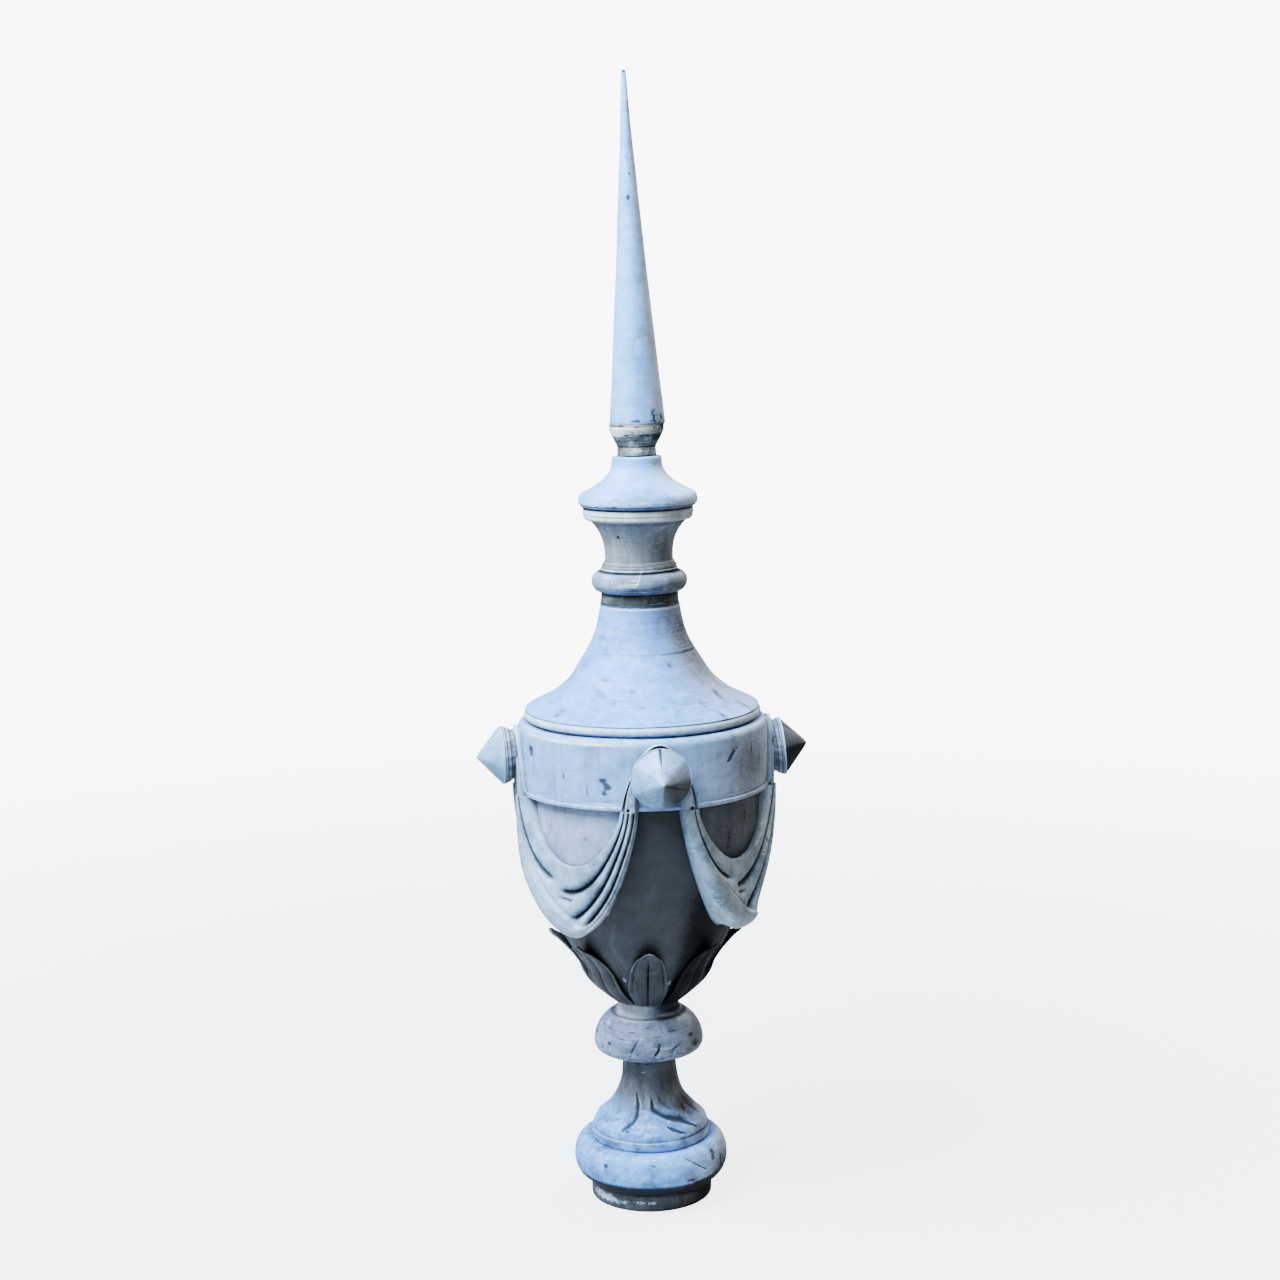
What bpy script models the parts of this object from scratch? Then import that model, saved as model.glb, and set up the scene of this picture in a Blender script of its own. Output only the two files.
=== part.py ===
"""A roof finial of sheet zinc: a draped urn on a baluster foot, with a domed cover and a long spike.

Metres, +Z up. The origin is the centre of the foot's flat underside, and one boss faces -Y.
Heights are stacked from the foot upwards, each piece resting on the one below across JOINT_GAP.
"""

import bpy
from math import acos, cos, exp, pi, radians, sin, tau

# Fits
JOINT_GAP = 0.0003          # solder line between two pieces that touch
SHEET = 0.0016              # wall of the open foot, zinc sheet with its solder
SIDES = 28                  # facets round a wide turned piece
SLIM_SIDES = 24             # facets round a slim one

# Foot, open below for the roof's post
FOOT_RING_R = 0.082         # plain ring that stands on the roof
FOOT_RING_HEIGHT = 0.0255
FOOT_HEM = 0.010            # hem turned in under the ring
FOOT_ROLL_BULGE = 0.0225    # how far the big roll stands out from the ring
FOOT_ROLL_SHELF = 0.005     # flat left on top of the roll, outside the bell
FOOT_ROLL_HEIGHT = 0.0565
BELL_FASCIA_INSET = 0.002   # the bell stands this far inside the roll's top
BELL_FASCIA_HEIGHT = 0.014
BELL_SHOULDER_HEIGHT = 0.015
BELL_SHOULDER_WIDTH = 0.0105
BELL_FLARE_HEIGHT = 0.093
BELL_NECK_R = 0.036         # neck under the knop
BELL_NECK_BEND = 4.0        # power of the flare's curve

# Knop
KNOP_R = 0.074
KNOP_UNDERSIDE_HEIGHT = 0.0115
KNOP_DOME_HEIGHT = 0.0391
KNOP_COLLAR_HEIGHT = 0.0194
KNOP_COLLAR_R = 0.0415
KNOP_COLLAR_STRAIGHT = 0.0147   # the rest of the collar flares out to the knop

# Bowl, sealed by the band and the dome
BOWL_FOOT_R = 0.0425
BOWL_RIM_INSET = 0.010      # the bowl's rim stands this far inside the band
BOWL_HEIGHT = 0.2965
BOWL_FULLNESS = 2.5
BOWL_PINCH = 1.0

# Leaves soldered round the bottom of the bowl
LEAF_COUNT = 8
LEAF_TURN = radians(-7.0)   # their ring was set a little askew from the bosses
LEAF_HEIGHT = 0.0985
LEAF_HALF_WIDTH = 0.0240
LEAF_BASE_HALF_WIDTH = 0.0168
LEAF_TIP_HALF_WIDTH = 0.0015
LEAF_SHEET = 0.004
LEAF_STAND = 0.0025
LEAF_BULGE = 0.0085
LEAF_BULGE_END = 0.55       # share of the height where the leaf lies back on the bowl
LEAF_TIP_FLARE = 0.016
LEAF_FLARE_START = 0.68     # share of the height where the tip starts to bend out
LEAF_RIB = 0.0022
LEAF_SIDE_GAP = 0.0006      # least gap between two leaves side by side
LEAF_WIDEST = 0.45          # share of the height where the leaf is widest

# Band round the bowl's rim
BAND_R = 0.166
BAND_HEIGHT = 0.091
BAND_HEM_HEIGHT = 0.004
BAND_HEM_PROUD = 0.0015
BAND_SHOULDER_WIDTH = 0.0085
BAND_SHOULDER_HEIGHT = 0.0100

# Hooks: arched plates on the band that the drapery hangs from
BOSS_COUNT = 4
HOOK_THICKNESS = 0.010
HOOK_HALF_WIDTH = 0.0526
HOOK_HEIGHT = 0.087
HOOK_LEG_WIDTH = 0.0235
HOOK_NOTCH_HEIGHT = 0.024
HOOK_BEND = 0.85

# Bosses on the hooks
BOSS_HEIGHT_ON_BAND = 0.0470
BOSS_NECK_R = 0.0318
BOSS_LIP_R = 0.0388
BOSS_DRUM_DEPTH = 0.0130
BOSS_LIP_THICKNESS = 0.0025
BOSS_LIP_PROUD = 0.0008     # the cone's lip stands out past the drum
BOSS_CONE_HEIGHT = 0.0345
BOSS_TIP_R = 0.0040
KNOCKED_BOSS = 1            # this one has been knocked out of line
KNOCKED_TILT = radians(6.5)
KNOCKED_DROP = 0.006        # and sits this much lower

# Swags, each hanging between two hooks
SWAG_STRAND_THICKNESS = 0.023
SWAG_STRAND_EDGE = 0.014
SWAG_HEM_DROP = 0.081
SWAG_DROP = 0.175
SWAG_FALL_BEND = 0.7
SWAG_HEM_STAND = 0.0055
SWAG_BELLY_STAND = 0.023
SWAG_BROAD_STAND = 0.037    # the broad fold on the left stands further out
SWAG_NOSE_STAND = 0.018     # the lowest fold sticks out like a nose, off the middle
SWAG_NOSE_PLACE = 0.22
SWAG_NOSE_SPREAD = 0.26
SWAG_FOLDS = 4
SWAG_FOLD_DEPTH = 0.0065
SWAG_COLUMNS = 14

# Cutting tools
CUTTER_MARGIN = 0.02        # how far a cutter runs past what it cuts

# Domed cover
DOME_HEIGHT = 0.1540
DOME_TOP_R = 0.052
BEAD_LEDGE = 0.0085         # the bead starts where the band's shoulder ends
BEAD_HEIGHT = 0.0147
DOME_EDGE_INSET = 0.0020    # the dome meets its bead this far inside it
# share of the way outwards, share of the way down
DOME_SWEEP = (
    (0, 0), (0.045, 0.18), (0.14, 0.38), (0.29, 0.57),
    (0.50, 0.77), (0.75, 0.905), (0.92, 0.965), (1, 1),
)

# Neck between dome and cap
NECK_TUBE_R = 0.0514
NECK_TUBE_HEIGHT = 0.0134
NECK_ROLL_R = 0.0632
NECK_ROLL_HEIGHT = 0.0320
NECK_ROLL_LIP_R = 0.0505
VASE_FOOT_R = 0.0490
VASE_FOOT_HEIGHT = 0.006
VASE_WAIST_R = 0.0448
VASE_THROAT_R = 0.0648
VASE_FLARE_HEIGHT = 0.0575
VASE_RIM_R = 0.0730
VASE_RIM_HEIGHT = 0.0152
VASE_BEND = 2.8
VASE_RIM_SLOPE = 0.003      # the rim's foot slopes in by this much

# Cap
CAP_GROOVE_INSET = 0.0010
CAP_GROOVE_HEIGHT = 0.0015
CAP_RIM_OVERHANG = 0.0055
CAP_EDGE_HEIGHT = 0.0080
CAP_SHOULDER_HEIGHT = 0.0125
CAP_SHOULDER_WIDTH = 0.010
CAP_FLARE_HEIGHT = 0.0390
CAP_TOP_R = 0.033
CAP_TOP_HEIGHT = 0.0057
CAP_CORNER = 0.002
CAP_EDGE_INSET = 0.002      # the edge slopes in this far down to the groove
CAP_BEND = 2.6

# Spike on its socket
SOCKET_NECK_R = 0.0257
SOCKET_NECK_HEIGHT = 0.0127
SOCKET_BULB_HEIGHT = 0.029
SPIKE_BASE_R = 0.0364
SPIKE_TIP_R = 0.0032
SPIKE_HEIGHT = 0.4488
SPIKE_TAPER = 1.17
SPIKE_LEAN = radians(1.15)
SPIKE_SLIP = 0.0018         # the spike was soldered on a little off centre
SPIKE_LEAN_TOWARDS = radians(-97.0)

# Levels, from the foot up
FOOT_TOP = FOOT_RING_HEIGHT + FOOT_ROLL_HEIGHT
BELL_BOTTOM = FOOT_TOP + JOINT_GAP
BELL_SHOULDER = BELL_BOTTOM + BELL_FASCIA_HEIGHT
BELL_TOP = BELL_SHOULDER + BELL_SHOULDER_HEIGHT + BELL_FLARE_HEIGHT
KNOP_BOTTOM = BELL_TOP + JOINT_GAP
KNOP_TOP = KNOP_BOTTOM + KNOP_UNDERSIDE_HEIGHT + KNOP_DOME_HEIGHT + KNOP_COLLAR_HEIGHT
BOWL_BOTTOM = KNOP_TOP + JOINT_GAP
BOWL_TOP = BOWL_BOTTOM + BOWL_HEIGHT
BAND_BOTTOM = BOWL_TOP + JOINT_GAP
BAND_TOP = BAND_BOTTOM + BAND_HEIGHT
DOME_BOTTOM = BAND_TOP + JOINT_GAP
DOME_TOP = DOME_BOTTOM + DOME_HEIGHT
TUBE_BOTTOM = DOME_TOP + JOINT_GAP
ROLL_BOTTOM = TUBE_BOTTOM + NECK_TUBE_HEIGHT + JOINT_GAP
VASE_BOTTOM = ROLL_BOTTOM + NECK_ROLL_HEIGHT + JOINT_GAP
VASE_TOP = VASE_BOTTOM + VASE_FOOT_HEIGHT + VASE_FLARE_HEIGHT + VASE_RIM_HEIGHT
CAP_BOTTOM = VASE_TOP + JOINT_GAP
CAP_SHOULDER = CAP_BOTTOM + CAP_GROOVE_HEIGHT + CAP_EDGE_HEIGHT
CAP_TOP = CAP_SHOULDER + CAP_SHOULDER_HEIGHT + CAP_FLARE_HEIGHT + CAP_TOP_HEIGHT
SOCKET_BOTTOM = CAP_TOP + JOINT_GAP
SOCKET_TOP = SOCKET_BOTTOM + SOCKET_NECK_HEIGHT + SOCKET_BULB_HEIGHT
SPIKE_BOTTOM = SOCKET_TOP + JOINT_GAP

# Radii that follow from others
BELL_FASCIA_R = FOOT_RING_R - BELL_FASCIA_INSET
BOWL_RIM_R = BAND_R - BOWL_RIM_INSET
HOOK_FRONT_R = BAND_R + HOOK_THICKNESS
BEAD_R = BAND_R - BEAD_LEDGE
BOSS_LEVEL = BAND_BOTTOM + BOSS_HEIGHT_ON_BAND


def clear_scene():
    for old in list(bpy.data.objects):
        bpy.data.objects.remove(old, do_unlink=True)


def new_collection(name, hidden=False):
    collection = bpy.data.collections.new(name)
    collection.hide_render = hidden
    bpy.context.scene.collection.children.link(collection)
    return collection


def zinc(name, colour, roughness, metallic=0.35):
    """A weathered zinc finish."""
    made = bpy.data.materials.new(name)
    made.use_nodes = True
    shader = made.node_tree.nodes["Principled BSDF"]
    shader.inputs["Base Color"].default_value = (*colour, 1.0)
    shader.inputs["Roughness"].default_value = roughness
    shader.inputs["Metallic"].default_value = metallic
    made.diffuse_color = (*colour, 1.0)
    return made


def place(name, mesh, collection, finish=None):
    made = bpy.data.objects.new(name, mesh)
    collection.objects.link(made)
    if finish:
        mesh.materials.append(finish)
    return made


def arc(centre_r, centre_z, reach, rise, start, end, steps):
    """Points on an ellipse in the profile plane, from one angle to another in degrees."""
    angles = [radians(start + (end - start) * i / steps) for i in range(steps + 1)]
    return [(centre_r + reach * cos(a), centre_z + rise * sin(a)) for a in angles]


def flare(slim_r, slim_z, wide_r, wide_z, bend, steps):
    """A hollow curve that leaves the slim end straight and widens ever faster."""
    shares = [i / steps for i in range(steps + 1)]
    return [(slim_r + (wide_r - slim_r) * s**bend, slim_z + (wide_z - slim_z) * s) for s in shares]


def turn(name, profile, collection, finish=None, sides=SIDES):
    """A closed turned solid. The profile runs from the top of the axis, down the outside, to its foot."""
    mesh = bpy.data.meshes.new(name)
    edges = [(i, i + 1) for i in range(len(profile) - 1)]
    mesh.from_pydata([(r, 0.0, z) for r, z in profile], edges, [])
    made = place(name, mesh, collection, finish)
    screw = made.modifiers.new("Turn", "SCREW")
    screw.axis = "Z"
    screw.angle = tau
    screw.steps = sides
    screw.render_steps = sides
    screw.use_merge_vertices = True
    screw.merge_threshold = 0.00001
    screw.use_smooth_shade = True
    return made


def turn_shell(name, profile, thickness, collection, finish):
    """A turned open sheet, thickened towards its inside."""
    made = turn(name, profile, collection, finish, SLIM_SIDES)
    solidify = made.modifiers.new("Sheet", "SOLIDIFY")
    solidify.thickness = thickness
    solidify.offset = -1.0
    solidify.use_even_offset = True
    return made


def cut(piece, cutter, operation="DIFFERENCE"):
    boolean = piece.modifiers.new(cutter.name, "BOOLEAN")
    boolean.operation = operation
    boolean.solver = "EXACT"
    boolean.object = cutter


def hide_cutter(cutter):
    cutter.hide_render = True
    cutter.display_type = "WIRE"
    return cutter


def loft_sheet(name, front, back, columns, rows, collection, finish):
    """A closed solid between two grids of points, both (rows + 1) by (columns + 1)."""
    across = columns + 1
    points = [p for row in front for p in row] + [p for row in back for p in row]
    behind = (rows + 1) * across
    faces = []
    for j in range(rows):
        for i in range(columns):
            a = j * across + i
            b, c, d = a + 1, a + 1 + across, a + across
            faces.append((a, b, c, d))
            faces.append((d + behind, c + behind, b + behind, a + behind))
    rim = [i for i in range(across)]
    rim += [j * across + columns for j in range(1, rows + 1)]
    rim += [rows * across + i for i in range(columns - 1, -1, -1)]
    rim += [j * across for j in range(rows - 1, 0, -1)]
    for here, there in zip(rim, rim[1:] + rim[:1]):
        faces.append((there, here, here + behind, there + behind))
    mesh = bpy.data.meshes.new(name)
    mesh.from_pydata(points, [], faces)
    mesh.shade_smooth()
    mesh.set_sharp_from_angle(angle=radians(50))
    return place(name, mesh, collection, finish)


def polar(radius, azimuth, level):
    """A point from its distance to the axis, its azimuth from -Y towards +X, and its level."""
    return (radius * sin(azimuth), -radius * cos(azimuth), level)


def smooth_step(low, high, value):
    share = min(1.0, max(0.0, (value - low) / (high - low)))
    return share * share * (3 - 2 * share)


def bowl_radius(level):
    down = min(1.0, max(0.0, (BOWL_TOP - level) / BOWL_HEIGHT))
    return BOWL_FOOT_R + (BOWL_RIM_R - BOWL_FOOT_R) * max(0.0, 1 - down**BOWL_FULLNESS) ** BOWL_PINCH


def bowl_profile(gap, steps=8):
    levels = [BOWL_TOP - BOWL_HEIGHT * (i / steps) for i in range(steps + 1)]
    return [(0, BOWL_TOP)] + [(bowl_radius(z) + gap, z) for z in levels] + [(0, BOWL_BOTTOM)]


def band_profile(gap):
    hem_r = BAND_R + BAND_HEM_PROUD
    hem_top = BAND_BOTTOM + BAND_HEM_HEIGHT
    shoulder_r = BAND_R - BAND_SHOULDER_WIDTH
    shoulder_z = BAND_TOP - BAND_SHOULDER_HEIGHT
    shoulder = arc(shoulder_r + gap, shoulder_z, BAND_SHOULDER_WIDTH, BAND_SHOULDER_HEIGHT, 90, 0, 3)
    return [(0, BAND_TOP)] + shoulder + [
        (BAND_R + gap, hem_top + BAND_HEM_PROUD),
        (hem_r + gap, hem_top),
        (hem_r + gap, BAND_BOTTOM),
        (0, BAND_BOTTOM),
    ]


def make_foot(parts, finish):
    roll_centre = FOOT_RING_HEIGHT + FOOT_ROLL_HEIGHT / 2
    shelf_r = FOOT_RING_R + FOOT_ROLL_SHELF
    roll = arc(shelf_r, roll_centre, FOOT_ROLL_BULGE - FOOT_ROLL_SHELF, FOOT_ROLL_HEIGHT / 2, 90, 0, 3)
    roll += arc(FOOT_RING_R, roll_centre, FOOT_ROLL_BULGE, FOOT_ROLL_HEIGHT / 2, 0, -90, 3)[1:]
    base = [(FOOT_RING_R - FOOT_HEM, FOOT_TOP)] + roll
    base += [(FOOT_RING_R, 0), (FOOT_RING_R - FOOT_HEM, 0)]
    turn_shell("foot_base", base, SHEET, parts, finish)

    shoulder_r = BELL_FASCIA_R - BELL_SHOULDER_WIDTH
    shoulder = arc(shoulder_r, BELL_SHOULDER, BELL_SHOULDER_WIDTH, BELL_SHOULDER_HEIGHT, 75, 0, 2)
    bell = flare(BELL_NECK_R, BELL_TOP, *shoulder[0], BELL_NECK_BEND, 4) + shoulder[1:]
    bell += [(BELL_FASCIA_R, BELL_BOTTOM), (BELL_FASCIA_R - FOOT_HEM, BELL_BOTTOM)]
    turn_shell("foot_bell", bell, SHEET, parts, finish)


def make_knop(parts, finish):
    widest = KNOP_BOTTOM + KNOP_UNDERSIDE_HEIGHT
    reach = KNOP_R - BELL_NECK_R
    rise = KNOP_DOME_HEIGHT / sin(radians(65))
    dome = arc(BELL_NECK_R, widest, reach, rise, 65, 0, 4)
    rounding = KNOP_UNDERSIDE_HEIGHT
    under = arc(KNOP_R - rounding, widest, rounding, rounding, -30, -90, 2)
    collar = [(KNOP_COLLAR_R, KNOP_TOP), (KNOP_COLLAR_R, KNOP_TOP - KNOP_COLLAR_STRAIGHT)]
    turn("knop", [(0, KNOP_TOP)] + collar + dome + under + [(0, KNOP_BOTTOM)], parts, finish, SLIM_SIDES)


def make_bowl(parts, finish):
    turn("bowl", bowl_profile(0), parts, finish)


def make_band(parts, finish):
    turn("band", band_profile(0), parts, finish)


def leaf_half_width(up):
    """Half the leaf's width at a share of its height: it swells from the base, then closes to its tip."""
    widening = (LEAF_HALF_WIDTH - LEAF_BASE_HALF_WIDTH) * smooth_step(0, LEAF_WIDEST, up)
    swell = LEAF_BASE_HALF_WIDTH + widening
    past_widest = max(0.0, up - LEAF_WIDEST) / (1 - LEAF_WIDEST)
    closing = max(0.0, 1 - past_widest**2.6) ** 0.6
    return LEAF_TIP_HALF_WIDTH + (swell - LEAF_TIP_HALF_WIDTH) * closing


def leaf_stand(up, across):
    """How far the leaf's face stands off the bowl: a midrib, a curled rim and a tip that bends out."""
    bend = max(0.0, (up - LEAF_FLARE_START) / (1 - LEAF_FLARE_START)) ** 1.5
    bulge = LEAF_BULGE * sin(pi * min(1.0, up / LEAF_BULGE_END))
    rib = LEAF_RIB * cos(across * tau)
    return LEAF_STAND + bulge + LEAF_TIP_FLARE * bend + rib * (1 - 0.5 * bend)


def make_leaves(parts, bowl_cutter, finish):
    rows, columns = 5, 4
    lowest = BOWL_BOTTOM + JOINT_GAP
    for number in range(LEAF_COUNT):
        centre = LEAF_TURN + tau * number / LEAF_COUNT
        front, back = [], []
        for j in range(rows + 1):
            up = 1 - (1 - j / rows) ** 1.35
            level = lowest + LEAF_HEIGHT * up
            radius = bowl_radius(level)
            room = tau / LEAF_COUNT / 2 - LEAF_SIDE_GAP / radius
            half_angle = min(room, leaf_half_width(up) / radius)
            front_row, back_row = [], []
            for i in range(columns + 1):
                across = 2 * i / columns - 1
                face = radius + leaf_stand(up, across)
                front_row.append(polar(face, centre + half_angle * across, level))
                back_row.append(polar(face - LEAF_SHEET, centre + half_angle * across, level))
            front.append(front_row)
            back.append(back_row)
        leaf = loft_sheet(f"leaf_{number + 1}", front, back, columns, rows, parts, finish)
        cut(leaf, bowl_cutter)


def hook_angle(half_width):
    """Azimuth from the boss's middle at which the hook's face has this half width."""
    return pi / 2 - acos(half_width / HOOK_FRONT_R)


def swag_stand(along, down):
    """How far the cloth's face stands off the bowl. along is -1 to 1 between the hooks, down is 0 at
    the upper hem and 1 at the lower edge."""
    fall = (1 - along * along) ** SWAG_FALL_BEND
    strand = SWAG_STRAND_EDGE + (SWAG_STRAND_THICKNESS - SWAG_STRAND_EDGE) * sin(pi * down)
    full = SWAG_BELLY_STAND + (SWAG_BROAD_STAND - SWAG_BELLY_STAND) * smooth_step(0.2, -0.3, along)
    belly = SWAG_HEM_STAND + (full - SWAG_HEM_STAND) * smooth_step(-0.2, 0.85, down)
    off_nose = (along - SWAG_NOSE_PLACE) / SWAG_NOSE_SPREAD
    nose = SWAG_NOSE_STAND * exp(-off_nose * off_nose) * smooth_step(0.35, 0.9, down)
    hollow = 0.5 + 0.5 * cos(tau * SWAG_FOLDS * down)
    gathered = 1 if 0.02 < down < 0.98 else 0
    broad = 1 - 0.75 * smooth_step(0.25, -0.3, along) * smooth_step(0.3, 0.5, down)
    fold = SWAG_FOLD_DEPTH * hollow * gathered * broad
    return strand + (belly - strand) * fall + nose - fold


def make_swags(parts, bowl_cutter, finish):
    rows = 2 * SWAG_FOLDS
    top = BOWL_TOP
    quarter = tau / BOSS_COUNT / 2
    inner = quarter - hook_angle(HOOK_HALF_WIDTH)
    outer = quarter - hook_angle(HOOK_HALF_WIDTH - HOOK_LEG_WIDTH)
    for number in range(BOSS_COUNT):
        centre = tau * number / BOSS_COUNT + quarter
        front, back = [], []
        for j in range(rows + 1):
            down = 1 - j / rows
            half_span = inner + (outer - inner) * down
            drop = SWAG_HEM_DROP + (SWAG_DROP - SWAG_HEM_DROP) * down
            front_row, back_row = [], []
            for i in range(SWAG_COLUMNS + 1):
                along = sin(pi / 2 * (2 * i / SWAG_COLUMNS - 1))
                level = top - drop * max(0.0, 1 - along * along) ** SWAG_FALL_BEND
                azimuth = centre + half_span * along
                face = bowl_radius(level) + swag_stand(along, down)
                front_row.append(polar(face, azimuth, level))
                back_row.append(polar(bowl_radius(level) - SWAG_HEM_STAND, azimuth, level))
            front.append(front_row)
            back.append(back_row)
        swag = loft_sheet(f"swag_{number + 1}", front, back, SWAG_COLUMNS, rows, parts, finish)
        cut(swag, bowl_cutter)


def hook_outline():
    """The arch round a boss, with a notch between its two legs, as points across and up."""
    steps = 12
    outer = []
    for i in range(steps + 1):
        across = -cos(pi * i / steps)
        rise = max(0.0, 1 - across * across) ** HOOK_BEND
        outer.append((HOOK_HALF_WIDTH * across, BAND_BOTTOM + HOOK_HEIGHT * rise))
    notch_half = HOOK_HALF_WIDTH - HOOK_LEG_WIDTH
    notch = []
    for i in range(7):
        angle = pi * i / 6
        notch.append((notch_half * cos(angle), BAND_BOTTOM + HOOK_NOTCH_HEIGHT * sin(angle)))
    return outer + notch


def flat_plate(name, outline, thickness, collection):
    """A flat outline as a mesh, thickness deep, standing upright in the XZ plane."""
    curve = bpy.data.curves.new(name, "CURVE")
    curve.dimensions = "2D"
    curve.fill_mode = "BOTH"
    curve.extrude = thickness / 2
    spline = curve.splines.new("POLY")
    spline.points.add(len(outline) - 1)
    for point, (across, up) in zip(spline.points, outline):
        point.co = (across, up, 0, 1)
    spline.use_cyclic_u = True
    drawn = place(name + "_outline", curve, collection)
    bpy.context.view_layer.update()
    mesh = bpy.data.meshes.new_from_object(drawn.evaluated_get(bpy.context.evaluated_depsgraph_get()))
    bpy.data.objects.remove(drawn)
    weld = place(name, mesh, collection)
    merge = weld.modifiers.new("Weld", "WELD")
    merge.merge_threshold = 0.00001
    return weld


def upright_cylinder(name, radius, bottom, top, sides, collection):
    bpy.ops.mesh.primitive_cylinder_add(
        vertices=sides, radius=radius, depth=top - bottom, location=(0, 0, (top + bottom) / 2)
    )
    made = bpy.context.object
    made.name = name
    for home in list(made.users_collection):
        home.objects.unlink(made)
    collection.objects.link(made)
    return hide_cutter(made)


def cutter_round_band(name, radius, cutters):
    bottom, top = BAND_BOTTOM - CUTTER_MARGIN, BAND_TOP + CUTTER_MARGIN
    return upright_cylinder(name, radius, bottom, top, 2 * SIDES, cutters)


def make_hooks(parts, cutters, band_cutter, finish):
    face_cutter = cutter_round_band("hook_face", HOOK_FRONT_R, cutters)
    depth = 2 * (HOOK_THICKNESS + CUTTER_MARGIN)
    for number in range(BOSS_COUNT):
        azimuth = tau * number / BOSS_COUNT
        hook = flat_plate(f"hook_{number + 1}", hook_outline(), depth, parts)
        hook.rotation_euler = (pi / 2, 0, azimuth)
        hook.location = polar(BAND_R, azimuth, 0)
        hook.data.materials.append(finish)
        cut(hook, face_cutter, "INTERSECT")
        cut(hook, band_cutter)


def make_bosses(parts, cutters, drum_finish, cone_finish):
    seat_cutter = cutter_round_band("boss_seat", HOOK_FRONT_R + JOINT_GAP, cutters)
    sunk = -HOOK_THICKNESS
    drum = [(0, BOSS_DRUM_DEPTH), (BOSS_LIP_R - BOSS_LIP_PROUD, BOSS_DRUM_DEPTH)]
    drum += [(BOSS_NECK_R, 0), (BOSS_NECK_R, sunk), (0, sunk)]
    lip_bottom = BOSS_DRUM_DEPTH + JOINT_GAP
    lip_top = lip_bottom + BOSS_LIP_THICKNESS
    tip = lip_bottom + BOSS_CONE_HEIGHT
    cone = [(0, tip), (BOSS_TIP_R, tip - BOSS_TIP_R * 0.7)]
    cone += [(BOSS_LIP_R, lip_top), (BOSS_LIP_R, lip_bottom), (0, lip_bottom)]
    for number in range(BOSS_COUNT):
        azimuth = tau * number / BOSS_COUNT
        axis = bpy.data.objects.new(f"boss_axis_{number + 1}", None)
        parts.objects.link(axis)
        tilt, drop = (KNOCKED_TILT, KNOCKED_DROP) if number == KNOCKED_BOSS else (0, 0)
        axis.location = polar(HOOK_FRONT_R, azimuth, BOSS_LEVEL - drop)
        axis.rotation_euler = (pi / 2 - tilt, 0, azimuth)
        boss_drum = turn(f"boss_drum_{number + 1}", drum, parts, drum_finish, SLIM_SIDES)
        boss_cone = turn(f"boss_cone_{number + 1}", cone, parts, cone_finish, SLIM_SIDES)
        boss_drum.parent = axis
        boss_cone.parent = axis
        cut(boss_drum, seat_cutter)


def make_dome(parts, finish):
    bead_rise = BEAD_HEIGHT / 2
    bead = arc(BEAD_R - bead_rise, DOME_BOTTOM + bead_rise, bead_rise, bead_rise, 60, -90, 4)
    edge_r = BEAD_R - DOME_EDGE_INSET
    edge_z = DOME_BOTTOM + BEAD_HEIGHT
    sweep = [
        (DOME_TOP_R + (edge_r - DOME_TOP_R) * out, DOME_TOP + (edge_z - DOME_TOP) * down)
        for out, down in DOME_SWEEP
    ]
    turn("dome", [(0, DOME_TOP)] + sweep + bead + [(0, DOME_BOTTOM)], parts, finish)


def make_neck(parts, tube_finish, finish):
    tube_top = TUBE_BOTTOM + NECK_TUBE_HEIGHT
    tube = [(0, tube_top), (NECK_TUBE_R, tube_top), (NECK_TUBE_R, TUBE_BOTTOM), (0, TUBE_BOTTOM)]
    turn("neck_tube", tube, parts, tube_finish, SLIM_SIDES)

    half = NECK_ROLL_HEIGHT / 2
    roll = arc(NECK_ROLL_LIP_R, ROLL_BOTTOM + half, NECK_ROLL_R - NECK_ROLL_LIP_R, half, 90, -90, 6)
    roll = [(0, ROLL_BOTTOM + NECK_ROLL_HEIGHT)] + roll + [(0, ROLL_BOTTOM)]
    turn("neck_roll", roll, parts, finish, SLIM_SIDES)

    waist = VASE_BOTTOM + VASE_FOOT_HEIGHT
    throat = waist + VASE_FLARE_HEIGHT
    vase = [(0, VASE_TOP), (VASE_RIM_R, VASE_TOP), (VASE_RIM_R, throat + VASE_RIM_SLOPE)]
    vase += [(VASE_RIM_R - VASE_RIM_SLOPE, throat)]
    vase += flare(VASE_WAIST_R, waist, VASE_THROAT_R, throat, VASE_BEND, 4)[::-1]
    vase += [(VASE_FOOT_R, waist), (VASE_FOOT_R, VASE_BOTTOM), (0, VASE_BOTTOM)]
    turn("vase_neck", vase, parts, finish, SLIM_SIDES)


def make_cap(parts, finish):
    rim_r = VASE_RIM_R + CAP_RIM_OVERHANG
    shoulder_r = rim_r - CAP_SHOULDER_WIDTH
    groove_r = VASE_RIM_R - CAP_GROOVE_INSET
    groove_top = CAP_BOTTOM + CAP_GROOVE_HEIGHT
    shoulder = arc(shoulder_r, CAP_SHOULDER, CAP_SHOULDER_WIDTH, CAP_SHOULDER_HEIGHT, 90, 0, 2)
    neck_top = CAP_TOP - CAP_TOP_HEIGHT
    cap = [(0, CAP_TOP), (CAP_TOP_R - CAP_CORNER, CAP_TOP), (CAP_TOP_R, CAP_TOP - CAP_CORNER)]
    cap += flare(CAP_TOP_R, neck_top, *shoulder[0], CAP_BEND, 3) + shoulder[1:]
    cap += [(rim_r - CAP_EDGE_INSET, groove_top), (groove_r, groove_top)]
    cap += [(groove_r, CAP_BOTTOM), (0, CAP_BOTTOM)]
    turn("cap", cap, parts, finish, SLIM_SIDES)


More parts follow.
